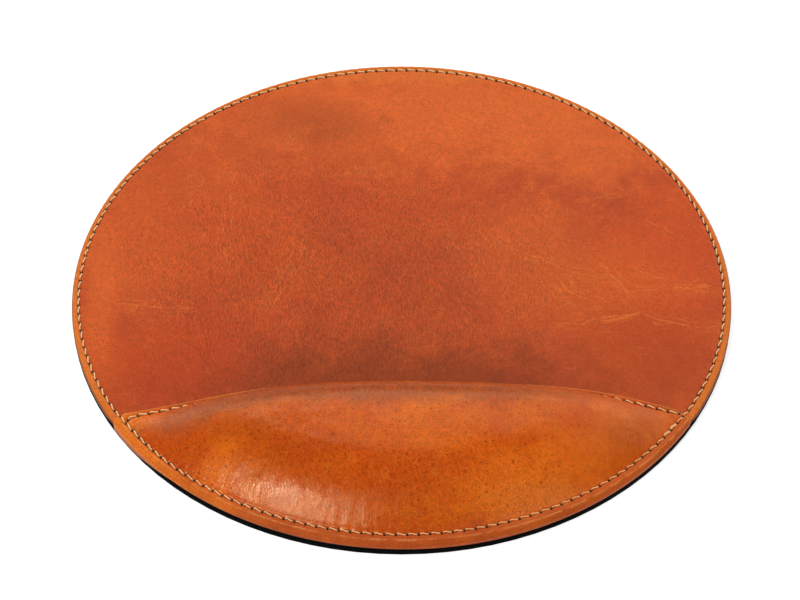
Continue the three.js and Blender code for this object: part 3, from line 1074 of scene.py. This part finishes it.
surface = {
    "perStitch": 8,       # points along the edge for each stitch
    "edgeRound": 0.8,
    "roundSteps": 5,
    "marginRings": 5,     # rings between the rounded edge and the stitches
    "nearStitches": [-0.9, -0.6, -0.3, 0, 0.3, 0.6, 0.9, 1.3, 1.8, 2.4, 3.2],
    # Inside the stitches: how far the rings go and their spacing, each time with half the points
    "innerRings": [(14, 1.1), (58, 2.1), (90, 4.0), (112, 5.0)],
    "wave": 0.16,
    "waves": (42, (9.3, 4.1), 11),  # size, shift and seed
    "pillow": 0.16,       # how much the leather swells outside its stitches
    "blackHeight": 0.5,         # how far up from the mat the leather's edge is black
    "blackBlur": 0.1,
    "tuck": 0.35,         # how far the edge stays back under the cover's lip
    # Where each thing begins and ends to show, from the edge, the stitches or the cover's cut edge
    "tuckFade": (4, 0),
    "rimFade": (0.55, 0.15),
    "blackFades": [(2.5, 1.5), (0.4, 1.4)],
    "marginFade": (0.1, 0.8),
    "waveFades": [(2, 22), (0, 14)],
}


# The upper face, with a mask for the needle holes and one for the pressed row
def surfaceHeight(x, y):
    across = insideOval(stitchLine, x, y)
    pressed, hole = stitchRelief(across, borderStitches(x, y))
    isBare = 1 - np.clip(coverLift(x, y) / leatherThickness, 0, 1)
    wave = surface["wave"] * spreadNoise(x, y, *surface["waves"])
    fromRow, fromCover = surface["waveFades"]
    wave = wave * ease(across, *fromRow) * ease(-insideArc(cutEdge, x, y), *fromCover)
    height = surfaceTop + isBare * pressed + wave
    return height, hole * isBare, bell(across, 0, sewing["valleyWidth"]) * isBare


# Each ring's oval, its height if that is fixed, how far it is rounded down, and its number of points
def surfaceRings():
    full, blackTop = borderRow["count"] * surface["perStitch"], matTop + surface["blackHeight"]
    rings = [(outline, height, 0, full) for height in (matTop, blackTop, blackTop + surface["blackBlur"])]
    for step in range(surface["roundSteps"] + 1):
        turn = step / surface["roundSteps"] * math.pi / 2
        drop = surface["edgeRound"] * (1 - math.sin(turn))
        rings.append((shrunkOval(outline, surface["edgeRound"] * (1 - math.cos(turn))), None, drop, full))
    rim, row = shrunkOval(outline, surface["edgeRound"]), shrunkOval(stitchLine, surface["nearStitches"][0])
    for step in range(1, surface["marginRings"]):
        rings.append((ovalBetween(rim, row, step / surface["marginRings"]), None, 0, full))
    for inset in surface["nearStitches"]:
        rings.append((shrunkOval(stitchLine, inset), None, 0, full))
    inset, points = surface["nearStitches"][-1], full
    for end, spacing in surface["innerRings"]:
        points //= 2
        while inset + spacing < end:
            inset += spacing
            rings.append((shrunkOval(stitchLine, inset), None, 0, points))
    return rings


def makeSurface():
    points, counts, masks = [], [], {}
    for oval, fixedHeight, drop, count in surfaceRings():
        x, y = ovalPoints(oval, borderTurn(np.arange(count) * borderRow["count"] / count))
        fromEdge = insideOval(outline, x, y)
        isCovered = np.clip(coverLift(x, y) / leatherThickness, 0, 1)
        back = 1 - surface["tuck"] * isCovered * ease(fromEdge, *surface["tuckFade"]) / outline["halfWidth"]
        x, y = x * back, y * back
        height, hole, valley = surfaceHeight(x, y)
        outsideRow = -insideOval(stitchLine, x, y)
        toRow = np.maximum(0.5, outsideRow + fromEdge)
        swell = surface["pillow"] * np.sin(np.pi * np.clip(fromEdge / toRow, 0, 1)) * (1 - isCovered)
        isSide = fixedHeight is not None
        isBlackened = isSide and fixedHeight <= matTop + surface["blackHeight"]
        fromOutside, fromCover = surface["blackFades"]
        under = ease(fromEdge, *fromOutside) * ease(coverRear(x) - y, *fromCover)
        height = np.full(count, fixedHeight) if isSide else height + swell - drop
        points.append(np.column_stack([x, y, height]))
        counts.append(count)
        addMasks(masks, {
            "hole": [hole],
            "valley": [valley],
            "rim": [np.full(count, 1.0) if isSide else ease(fromEdge, *surface["rimFade"])],
            "blackened": [np.maximum(under, 1.0 if isBlackened else 0.0)],
            "margin": [ease(outsideRow, *surface["marginFade"])],
        })
    last = sum(counts[:-1])
    faces = ringFaces(counts)
    faces.append(tuple(range(last, last + counts[-1])))
    faces.append(tuple(range(counts[0] - 1, -1, -1)))
    return makePiece("mouseSurface", points, faces, surfaceLeather, masks)


surfacePiece = makeSurface()
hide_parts("mouse_surface_leather")


# The wrist rest's cover: columns that pass through the front needle holes

cover = {
    "perStitch": 8,
    "edgeRound": 1.1,
    "cutRound": 0.3,
    "roundSteps": 6,
    "lip": 0.95,          # how far the front edge reaches down over the mouse surface's edge
    "leftLip": 0.4,
    "lipInsets": (0.3, 0.27, 0.135, 0.04, 0, 0, 0),  # from the oval's edge, round the lip from inside its top
    "lipRises": (0.12, 0, 0.1, 0.3),  # over its lowest edge
    "lipShoulder": 0.15,  # how far under its rounded top it ends
    "marginRows": 9,
    "nearStitches": [-0.9, -0.6, -0.3, 0, 0.3, 0.6, 0.9, 1.2, 1.6, 2.1, 2.7],
    "nearSeam": [0.5, 0.8, 1.1, 1.4, 1.7, 2.0, 2.3, 2.6, 2.9, 3.3, 3.8],
    "middleRows": 62,
    "innerRows": 24,
    "pillow": 0.22,
    "ridge": 0.42,        # a crease line in the flange
    "ridgeWidth": 0.4,
    "ridgeShare": 0.45,   # its place between the edge and the stitches
    "ridgeDrift": 0.17,   # how much nearer to the edge it comes at the right
    "dimple": 0.075,      # the fine unevenness of the padded leather
    "dimples": (3.0, (1.7, 2.3), 71),
    "lump": 0.25,         # the soft one
    "lumps": (24, (3.7, 8.2), 61, 2),
    "gatheredMiddle": -42,  # the stretch where the leather is gathered and creased most
    "gatheredWidth": 28,
    "gatheredLeast": 0.22,
    "pucker": 0.08,       # the fine gathers above the front stitches
    "puckerWidth": 1.25,
    "puckerLength": 6,
    "puckerSeed": 41,
    "puckerFade": (0.8, 3),
    "puckerLeast": 0.2,
    "puckerPeak": 3,      # how far from the stitches they are strongest
    "wander": 1.6,        # how far they stray sideways
    "wanderSize": (9, 6),
    "wanderSeed": 31,
    "gather": 0.05,       # the broader ones
    "gatherWidth": 4.5,
    "gatherLength": 16,
    "gatherSeed": 51,
    "gatherFade": (0.8, 5),
    "gatherPeak": 6,
    "gathersReach": 12,
    "gathersRearFade": (0.5, 5),
    "droop": 3.3,         # how far the left corner hangs over the mat
    "droopStart": -112,
    "droopEnd": -84,
    "droopFades": (3, 22),
    "lipFade": (-30, 40),
    "seamFade": (-0.6, -0.1),
    "flangeFade": (-0.5, -1.4),
    "rawFade": (0.35, 0.1),
}


# The padded leather as cloth: a sheet sewn down all round, with slack by the front stitches, blown up

sheet = {
    "columns": 190,
    "rows": 50,
    "crowding": 1.2,      # how much closer the columns stand towards the ends
    "inset": 0.5,
    "start": 0.985,       # the sheet's first height, as a share of the padding's
    "unevenness": 0.04,
    "unevenSize": (5, 7),
    "slack": 0.5,         # the height of the folds it starts with, where it is slack
    "foldSize": (2.6, 11),
    "foldShare": 1.2,
    "fadeIn": 3,
    "slackLeast": 0.25,
    "slackMiddle": -38,
    "slackWidth": 34,
    "slackDepth": 5,
    "slackReach": 8,
    "hold": 0.03,         # how firmly the foam holds the rest in place
    "seed": 12,
    "foldSeed": 52,
    "frames": 20,
    "most": 0.9,          # no point rises or sinks further than this
    "share": 0.22,
    "leather": {
        "quality": 6,
        "mass": 0.02,
        "tension_stiffness": 80,
        "compression_stiffness": 80,
        "shear_stiffness": 40,
        "bending_stiffness": 0.5,
        "tension_damping": 10,
        "compression_damping": 10,
        "use_pressure": True,
        "uniform_pressure_force": 4,
        "shrink_max": -0.1,   # the slack leather would like to be longer
        "vertex_group_shrink": "loose",
        "vertex_group_mass": "sewn",
    },
}


def sheetEnds():
    left, right = [side * (meeting(paddingRear, paddingFront, side) - sheet["inset"]) for side in (-1, 1)]
    return (left + right) / 2, (right - left) / 2


def sheetPlaces():
    middle, half = sheetEnds()
    turns = np.linspace(-1, 1, sheet["columns"]) * sheet["crowding"]
    x = middle + half * np.sin(turns) / math.sin(sheet["crowding"])
    front, rear = ovalFront(paddingFront, x), arcRear(paddingRear, x)
    y = front[:, None] + (rear - front)[:, None] * np.linspace(0, 1, sheet["rows"])[None, :]
    return np.repeat(x[:, None], sheet["rows"], 1), y


def makeSheet(x, y, plain, slack):
    fromFront, fromRear = insideOval(paddingFront, x, y), insideArc(paddingRear, x, y)
    run = borderStitches(x, y) * layout["stitch"]
    wide, deep = sheet["unevenSize"]
    uneven = layeredNoise(x / wide, y / deep, sheet["seed"])
    wide, deep = sheet["foldSize"]
    uneven += sheet["foldShare"] * slack * layeredNoise(run / wide, fromFront / deep, sheet["foldSeed"], 2)
    uneven *= sheet["unevenness"] + sheet["slack"] * slack
    uneven *= np.minimum(1, np.minimum(fromFront, fromRear) / sheet["fadeIn"])
    points = np.stack([x, y, plain * sheet["start"] + uneven], axis=-1).reshape(-1, 3)
    columns, rows = plain.shape
    mesh = bpy.data.meshes.new("leatherSheet")
    mesh.from_pydata((points * mm).tolist(), [], [
        (i * rows + j, (i + 1) * rows + j, (i + 1) * rows + j + 1, i * rows + j + 1)
        for i in range(columns - 1) for j in range(rows - 1)])
    piece = addObject("leatherSheet", mesh)
    sewn, loose = piece.vertex_groups.new(name="sewn"), piece.vertex_groups.new(name="loose")
    for index, amount in enumerate(slack.ravel().tolist()):
        column, row = divmod(index, rows)
        isEdge = column in (0, columns - 1) or row in (0, rows - 1)
        sewn.add([index], 1.0 if isEdge else sheet["hold"] * (1 - amount), "REPLACE")
        loose.add([index], amount, "REPLACE")
    return piece


def addCloth(piece):
    cloth = piece.modifiers.new("leather", "CLOTH")
    for key, value in sheet["leather"].items():
        setattr(cloth.settings, key, value)
    cloth.settings.effector_weights.gravity = 0
    cloth.point_cache.frame_end = sheet["frames"]


# How far each point of the sheet ends over the plain padding
def runSheet():
    x, y = sheetPlaces()
    plain = padding(x, y)
    near = bell(insideOval(paddingFront, x, y), sheet["slackDepth"], sheet["slackReach"])
    along = bell(x, sheet["slackMiddle"], sheet["slackWidth"])
    slack = near * (sheet["slackLeast"] + (1 - sheet["slackLeast"]) * along)
    piece = makeSheet(x, y, plain, slack)
    addCloth(piece)
    for frameNumber in range(1, sheet["frames"] + 1):
        bpy.context.scene.frame_set(frameNumber)
    found = piece.evaluated_get(bpy.context.evaluated_depsgraph_get()).data
    places = np.empty(len(found.vertices) * 3)
    found.vertices.foreach_get("co", places)
    rise = places.reshape(plain.shape + (3,))[:, :, 2] / mm - plain
    mesh = piece.data
    bpy.data.objects.remove(piece)
    bpy.data.meshes.remove(mesh)
    bpy.context.scene.frame_set(1)
    print("blew up the leather sheet, which rose %.2f to %.2f mm" % (rise.min(), rise.max()))
    return np.clip(rise, -sheet["most"], sheet["most"])


sheetRise = runSheet()


# Weights of the four nearest points for a smooth curve through a row of heights
def curveWeights(share):
    left = 1 - share
    return [left ** 3 / 6, (3 * share ** 3 - 6 * share ** 2 + 4) / 6,
            (3 * left ** 3 - 6 * left ** 2 + 4) / 6, share ** 3 / 6]


# The sheet's rise at any place, smoothly between its points
def sheetHeight(x, y):
    middle, half = sheetEnds()
    sine = np.clip((x - middle) / half, -1, 1) * math.sin(sheet["crowding"])
    across = (np.arcsin(sine) / sheet["crowding"] + 1) / 2 * (sheet["columns"] - 1)
    front, rear = ovalFront(paddingFront, x), arcRear(paddingRear, x)
    share = np.clip((y - front) / np.maximum(rear - front, 1), 0, 1)
    deep = share * (sheet["rows"] - 1)
    column, row = np.floor(across).astype(int), np.floor(deep).astype(int)
    total = 0
    for i, columnWeight in enumerate(curveWeights(across - column)):
        for j, rowWeight in enumerate(curveWeights(deep - row)):
            atColumn = np.clip(column + i - 1, 0, sheet["columns"] - 1)
            atRow = np.clip(row + j - 1, 0, sheet["rows"] - 1)
            total = total + columnWeight * rowWeight * sheetRise[atColumn, atRow]
    return sheet["share"] * total


def gathered(x):
    least = cover["gatheredLeast"]
    return least + (1 - least) * bell(x, cover["gatheredMiddle"], cover["gatheredWidth"])


# Gathers that run in from the front stitches, as a height and as a mask
def puckers(x, y):
    depth = insideOval(stitchLine, x, y)
    run = borderStitches(x, y) * layout["stitch"]
    wide, deep = cover["wanderSize"]
    wander = cover["wander"] * smoothNoise(run / wide, depth / deep, cover["wanderSeed"])
    along = {"pucker": run + wander, "gather": run + 2 * wander}
    fine, broad = [
        layeredNoise(along[key] / cover[key + "Width"], depth / cover[key + "Length"], cover[key + "Seed"], 2)
        * ease(depth, *cover[key + "Fade"]) * ease(insideArc(seam, x, y), *cover["gathersRearFade"])
        for key in ("pucker", "gather")]
    least, reach = cover["puckerLeast"], cover["gathersReach"]
    fine = fine * (least + (1 - least) * bell(depth, cover["puckerPeak"], reach)) * gathered(x)
    broad = broad * bell(depth, cover["gatherPeak"], reach)
    return cover["pucker"] * fine + cover["gather"] * broad, np.clip(fine, 0, 1)


# The soft lumps and dimples of the padded leather
def lumps(x, y):
    broad = cover["lump"] * spreadNoise(x, y, *cover["lumps"])
    return broad + cover["dimple"] * spreadNoise(x, y, *cover["dimples"]) * gathered(x)


# The cover's upper face, with masks for needle holes, pressed rows, gathers and the flange's ridge
def coverHeight(x, y):
    across = insideOval(stitchLine, x, y)
    border, borderHole = stitchRelief(across, borderStitches(x, y))
    row = seamStitches(x, y)
    fromSeam = insideArc(seam, x, y) + seamBend(row)
    isSewn = ease(row, *cover["seamFade"]) * ease(seamCount - row, *cover["seamFade"])
    rear, seamHole = stitchRelief(fromSeam, row)
    folds, pucker = puckers(x, y)
    padded = padding(x, y)
    rise = np.minimum(1, padded / layout["rise"])
    height = flangeTop + padded + border + rear * isSewn + folds + lumps(x, y) * rise + sheetHeight(x, y)
    fromEdge = insideOval(outline, x, y)
    width, isFlange = fromEdge - across, across < 0
    pillow = cover["pillow"] * np.sin(np.pi * np.clip(fromEdge / np.maximum(1, width), 0, 1)) * isFlange
    ridgeShare = cover["ridgeShare"] - cover["ridgeDrift"] * x / outline["halfWidth"]
    ridge = bell(fromEdge, ridgeShare * width, cover["ridgeWidth"]) * isFlange
    valley = sewing["valleyWidth"]
    return height + pillow + cover["ridge"] * ridge, {
        "hole": np.maximum(borderHole, seamHole * isSewn),
        "valley": np.maximum(bell(across, 0, valley), bell(fromSeam, 0, valley) * isSewn),
        "pucker": pucker,
        "ridge": ridge,
    }


# Where the columns stand, which is at the front needle holes and between them
def coverColumns():
    left, right, step = -coverEnd(-1), coverEnd(1), 1 / cover["perStitch"]
    first = borderStitches(left, ovalFront(stitchLine, left))
    last = borderStitches(right, ovalFront(stitchLine, right))
    places = np.arange(math.ceil(first / step) + 1, math.floor(last / step)) * step
    x = stitchLine["halfWidth"] * np.cos(borderTurn(places))
    return np.concatenate([[left], x, [right]])


# Places of the upper face's points at x, with how far each is rounded down
def coverRows(x, rear):
    turns = np.linspace(0, math.pi / 2, cover["roundSteps"] + 1)
    rows = [ovalFront(shrunkOval(outline, cover["edgeRound"] * (1 - math.cos(turn))), x) for turn in turns]
    drops = cover["edgeRound"] * (1 - np.sin(turns))
    rim, row = shrunkOval(outline, cover["edgeRound"]), shrunkOval(stitchLine, cover["nearStitches"][0])
    for step in range(1, cover["marginRows"]):
        rows.append(ovalFront(ovalBetween(rim, row, step / cover["marginRows"]), x))
    rows += [ovalFront(shrunkOval(stitchLine, inset), x) for inset in cover["nearStitches"]]
    rows = np.minimum(rows, rear)
    seamRows = np.maximum([rear - inset for inset in reversed(cover["nearSeam"])], rows[-1])
    middle = np.linspace(rows[-1], seamRows[0], cover["middleRows"] + 2)[1:-1]
    edgeRows = np.maximum(rear - cover["cutRound"] * (1 - np.sin(turns)), rows[-1])
    edgeDrops = cover["cutRound"] * (1 - np.cos(turns))
    y = np.concatenate([rows, middle, seamRows, edgeRows])
    flat = np.zeros(len(y) - len(drops) - len(edgeDrops))
    return y, np.concatenate([drops, flat, edgeDrops])


# The cover's underside, which lies on the mouse surface and stands clear of the foam
def coverInside(x, front, rear):
    y = np.linspace(rear, front, cover["innerRows"])
    height = np.maximum(surfaceTop, flangeTop + padding(x, y) - leatherThickness * paddingSlant(x, y))
    height[0] = height[-1] = surfaceTop
    return y, height


# The lip at the front: points from inside its top, round its lower edge and up its outer side
def coverLip(x, top):
    start, end, (leftFade, rightFade) = cover["droopStart"], cover["droopEnd"], cover["droopFades"]
    hang = ease(x, start, start + leftFade) * ease(-x, -end, rightFade - end)
    reach = cover["leftLip"] + (cover["lip"] - cover["leftLip"]) * ease(x, *cover["lipFade"])
    low = surfaceTop - reach - (cover["droop"] - reach) * hang
    rises = [low + rise for rise in cover["lipRises"]]
    heights = [surfaceTop, *rises, (low + top) / 2, top - cover["lipShoulder"]]
    y = [ovalFront(shrunkOval(outline, inset), x) for inset in cover["lipInsets"]]
    return np.array(y), np.array(heights)


def makeCover():
    points, masks, columns = [], {}, coverColumns()
    for x in columns:
        rear = max(ovalFront(outline, x), coverRear(x))
        y, drop = coverRows(x, rear)
        height, found = coverHeight(np.full(len(y), x), y)
        lipY, lipHeight = coverLip(x, (height - drop)[0])
        lipY = np.minimum(lipY, rear)
        innerY, innerHeight = [part[:-1] for part in coverInside(x, lipY[0], rear)]
        allY = np.concatenate([lipY, y, innerY])
        allHeights = np.concatenate([lipHeight, height - drop, innerHeight])
        points.append(np.column_stack([np.full(len(allY), x), allY, allHeights]))
        onLip, inside = np.zeros(len(lipY)), np.zeros(len(innerY))
        margin = ease(insideOval(stitchLine, np.full(len(y), x), y), *cover["flangeFade"])
        addMasks(masks, {key: [onLip, mask, inside] for key, mask in found.items()})
        addMasks(masks, {
            "rim": [ease(lipHeight, surfaceTop, surfaceTop - 1), y * 0, inside],
            "flange": [onLip + 1, margin, inside],
            "raw": [onLip, ease(rear - y, *cover["rawFade"]), inside + 1],
        })
    faces = tubeFaces(len(columns), len(points[0]), False)
    return makePiece("wristRestCover", points, faces, restLeather, masks)


coverPiece = makeCover()
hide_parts("wrist_rest_cover")


# The foam core inside it

core = {"columns": 96, "rows": 40, "inset": 1.0, "lift": 0.02}


def makeCore():
    points = []
    offset = leatherThickness + layout["coreClearance"]
    rearArc, frontOval = shrunkArc(paddingRear, core["inset"]), shrunkOval(paddingFront, core["inset"])
    for turn in np.linspace(-math.pi / 2, math.pi / 2, core["columns"]):
        x = coreHalfWidth * math.sin(turn)
        y = np.linspace(ovalFront(frontOval, x), arcRear(rearArc, x), core["rows"])
        height = flangeTop + padding(x, y) - offset * paddingSlant(x, y)
        upper = np.column_stack([np.full(len(y), x), y, np.maximum(surfaceTop + core["lift"], height)])
        lower = np.column_stack([np.full(len(y), x), y, np.full(len(y), surfaceTop)])[::-1]
        points.append(np.concatenate([upper, lower]))
    return makePiece("wristRestCore", points, cappedFaces(len(points), len(points[0])), openCellFoam)


corePiece = makeCore()
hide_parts("wrist_rest_core")


# Threads: three plies twisted, which dive into each needle hole

sewnThread = {
    "stepsPerStitch": 20,
    "sides": 12,
    "stand": 0.08,        # how far its middle stands over the leather
    "plunge": 1.15,
    "plungeStart": 0.32,  # from a hole's middle
    "plungeEnd": 0.95,
    "darkStart": 0.56,
    "darkEnd": 0.74,
    "slant": 0.24,        # each stitch lies a little across its row
    "thickness": 0.52,    # pulled tight, and so thinner than the solids' loose thread
    "twist": 2.6,         # length of one turn of the plies
    "plies": 3,
    "plyDepth": 0.1,
    "bobbinPlunge": 0.25,
    "bobbinDark": 0.3,
    "doubled": 2,         # the border's last stitches lie beside its first ones
    "doubledOffset": 0.55,
    "sharpAngle": 80,     # in degrees, over which an edge is drawn sharp
}


def unit(rows):
    return rows / np.linalg.norm(rows, axis=1)[:, None]


# Points and masks of a twisted thread along a path, whose sideways direction is given at each point
def threadTube(path, across, sunk, isClosed):
    run = np.concatenate([[0], np.cumsum(np.linalg.norm(np.diff(path, axis=0), axis=1))])
    ahead = np.gradient(path, axis=0)
    if isClosed:
        ahead[0] = ahead[-1] = path[1] - path[-2]
    over = unit(np.cross(across, unit(ahead)))
    turns = np.arange(sewnThread["sides"]) * 2 * np.pi / sewnThread["sides"]
    twist = 2 * np.pi * run / sewnThread["twist"]
    lobes = np.cos(sewnThread["plies"] * (turns[None, :] + twist[:, None]))
    radius = sewnThread["thickness"] / 2 * (1 - sewnThread["plyDepth"] + sewnThread["plyDepth"] * lobes)
    spokes = across[:, None, :] * np.cos(turns)[None, :, None]
    spokes = spokes + over[:, None, :] * np.sin(turns)[None, :, None]
    points = path[:, None, :] + spokes * radius[:, :, None]
    masks = {"ply": [(0.5 + 0.5 * lobes).ravel()], "sunk": [np.repeat(sunk, sewnThread["sides"])]}
    return points.reshape(-1, 3), masks


# How far down the thread has gone into its holes, as a share
def plunged(stitches):
    return 1 - ease(fromHole(stitches), sewnThread["plungeStart"], sewnThread["plungeEnd"])


# How strongly the thread is painted dark near each hole: painted shade, fainter on the under thread
def darkened(stitches, isUpper):
    dark = 1 - ease(fromHole(stitches), sewnThread["darkStart"], sewnThread["darkEnd"])
    return dark * (1 if isUpper else sewnThread["bobbinDark"])


def slanted(stitches, isUpper):
    return (sewnThread["slant"] if isUpper else 0) * np.sin(2 * np.pi * (stitches % 1 - 0.5))


# A path along the border row with its sideways directions
def borderPath(stitches, heightOf, isUpper, offset=0):
    turns = borderTurn(stitches)
    x, y = ovalPoints(stitchLine, turns)
    outwards = [np.cos(turns) / stitchLine["halfWidth"], np.sin(turns) / stitchLine["halfDepth"]]
    across = unit(np.column_stack(outwards))
    shift = slanted(stitches, isUpper) - offset * np.sin(np.pi * (stitches % 1)) ** 0.5
    x, y = x + across[:, 0] * shift, y + across[:, 1] * shift
    across = np.column_stack([across, np.zeros(len(x))])
    return np.column_stack([x, y, heightOf(x, y, stitches)]), across


def seamPath(stitches, heightOf, isUpper):
    turns = seamStart - seamSpan * stitches / seamCount
    across = np.column_stack([np.sin(turns), np.cos(turns), np.zeros(len(turns))])
    radius = seam["radius"] + slanted(stitches, isUpper) + seamBend(stitches)
    x = radius * np.sin(turns)
    y = seam["y"] + radius * np.cos(turns) + seamStray(x)
    return np.column_stack([x, y, heightOf(x, y, stitches)]), across


# Heights of an upper thread on what it is sewn to, and of a lower one round its node's middle
def upperHeight(base):
    return lambda x, y, stitches: base(x, y) + sewnThread["stand"] - sewnThread["plunge"] * plunged(stitches)


def lowerHeight(node):
    low, high = nodeBox(node)
    return lambda x, y, stitches: (low[2] + high[2]) / 2 + sewnThread["bobbinPlunge"] * plunged(stitches)


# The stitches at the right corner that lock the border's thread
def doubledStitches(heightOf):
    end = math.floor(borderStitches(seamEnds[1], ovalFront(stitchLine, seamEnds[1])))
    steps = sewnThread["doubled"] * sewnThread["stepsPerStitch"] + 1
    stitches = end - sewnThread["doubled"] + np.arange(steps) / sewnThread["stepsPerStitch"]
    path, across = borderPath(stitches, heightOf, True, sewnThread["doubledOffset"])
    points, masks = threadTube(path, across, darkened(stitches, True), False)
    return points, masks, cappedFaces(steps, sewnThread["sides"])


def makeBorderThread(name, heightOf, isUpper):
    steps = borderRow["count"] * sewnThread["stepsPerStitch"]
    stitches = np.arange(steps) / sewnThread["stepsPerStitch"]
    path, across = borderPath(stitches, heightOf, isUpper)
    points, masks = threadTube(path, across, darkened(stitches, isUpper), True)
    faces, points = tubeFaces(steps, sewnThread["sides"], True), [points]
    if isUpper:
        morePoints, moreMasks, moreFaces = doubledStitches(heightOf)
        faces += [tuple(i + len(points[0]) for i in face) for face in moreFaces]
        points.append(morePoints)
        addMasks(masks, moreMasks)
    return makePiece(name, points, faces, waxedThread, masks, sewnThread["sharpAngle"])


def makeSeamThread(name, heightOf, isUpper):
    steps = seamCount * sewnThread["stepsPerStitch"] + 1
    stitches = np.arange(steps) / sewnThread["stepsPerStitch"]
    path, across = seamPath(stitches, heightOf, isUpper)
    points, masks = threadTube(path, across, darkened(stitches, isUpper), False)
    faces = cappedFaces(steps, sewnThread["sides"])
    return makePiece(name, [points], faces, waxedThread, masks, sewnThread["sharpAngle"])


def borderBase(x, y):
    return surfaceTop + coverLift(x, y)


def seamBase(x, y):
    return np.full(len(x), flangeTop)


borderThread = makeBorderThread("borderStitches", upperHeight(borderBase), True)
seamThread = makeSeamThread("seamStitches", upperHeight(seamBase), True)
borderBobbin = makeBorderThread("borderUnderStitches", lowerHeight("border_bobbin_thread"), False)
seamBobbin = makeSeamThread("seamUnderStitches", lowerHeight("seam_bobbin_thread"), False)
threads = [(borderThread, "border_needle_thread"), (seamThread, "seam_needle_thread"),
           (borderBobbin, "border_bobbin_thread"), (seamBobbin, "seam_bobbin_thread")]
for piece, node in threads:
    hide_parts(node)


# Floor, lamps and camera

studio = {
    "floorSize": 6,       # metres
    "floorColour": "#eef4ff",
    "floorRoughness": 0.9,
    "floorLift": 0.6,
    "floorDrop": 0.0001,  # metres under the mat, so that their faces don't coincide
    "worldColour": "#fffaf2",
    "worldStrength": 0.15,
    "lampColour": (1.0, 0.93, 0.82),
    "cameraPlace": (-0.0006, -0.739, 0.910),
    "cameraTarget": (-0.0006, -0.001, 0.0),
    "lens": 133.2,
    "sensorWidth": 36,
}

# Lamps: place and aim in metres, size, power in watts, and a turn about their own axis in degrees
lamps = [
    ("frontLeftSoftbox", (-0.58, -0.74, 1.0), (-0.58, -0.74, 0.0), (0.35, 0.28), 10.2, -35),
    ("rearSoftbox", (0.0, 0.87, 0.83), (0.0, 0.0, 0.0), (1.6, 0.5), 4.5, 0),
    ("leftStrip", (-1.05, 1.05, 0.74), (0.0, 0.0, 0.0), (1.0, 0.8), 6.0, 0),
    ("rightStrip", (1.1, 1.1, 0.78), (0.0, 0.0, 0.0), (1.2, 0.9), 11.0, 0),
    ("frontFill", (1.0, -1.3, 0.8), (0.0, 0.0, 0.0), (1.2, 0.8), 4.0, 0),
]


# The floor, a little brighter to the camera than its light makes it, and clear from below
def makeFloor():
    material, shader = newMaterial("studioFloor")[:2]
    ray = put("ShaderNodeLightPath").outputs
    seen = ray["Is Camera Ray"]
    for kind in ("Is Glossy Ray", "Is Transmission Ray"):
        seen = maths("MAXIMUM", seen, ray[kind])
    setInputs(shader, {
        "Base Color": tint(studio["floorColour"]),
        "Roughness": studio["floorRoughness"],
        "Specular IOR Level": 0.0,
        "Emission Color": (1.0, 1.0, 1.0, 1.0),
        "Emission Strength": times(seen, studio["floorLift"]),
        "Alpha": minus(1.0, put("ShaderNodeNewGeometry").outputs["Backfacing"]),
    })
    half, z = studio["floorSize"] / 2, -studio["floorDrop"]
    mesh = bpy.data.meshes.new("floor")
    corners = [(-half, -half, z), (half, -half, z), (half, half, z), (-half, half, z)]
    mesh.from_pydata(corners, [], [(0, 1, 2, 3)])
    mesh.materials.append(material)
    addObject("floor", mesh)


def aim(thing, place, target):
    thing.location = place
    thing.rotation_euler = (Vector(target) - Vector(place)).to_track_quat("-Z", "Y").to_euler()


def makeLamps():
    for name, place, target, size, power, turn in lamps:
        lamp = bpy.data.lights.new(name, "AREA")
        lamp.shape = "RECTANGLE"
        lamp.size, lamp.size_y = size
        lamp.energy = power
        lamp.color = studio["lampColour"]
        thing = addObject(name, lamp)
        aim(thing, place, target)
        thing.rotation_euler.rotate_axis("Z", math.radians(turn))
    world = bpy.data.worlds.new("studioWorld")
    world.use_nodes = True
    background = world.node_tree.nodes["Background"]
    background.inputs["Color"].default_value = tint(studio["worldColour"])
    background.inputs["Strength"].default_value = studio["worldStrength"]
    bpy.context.scene.world = world


def makeCamera():
    camera = addObject("camera", bpy.data.cameras.new("camera"))
    camera.data.lens = studio["lens"]
    camera.data.sensor_width = studio["sensorWidth"]
    aim(camera, studio["cameraPlace"], studio["cameraTarget"])
    bpy.context.scene.camera = camera


makeFloor()
makeLamps()
makeCamera()
bpy.context.scene.view_settings.view_transform = "Standard"
print("studio made")
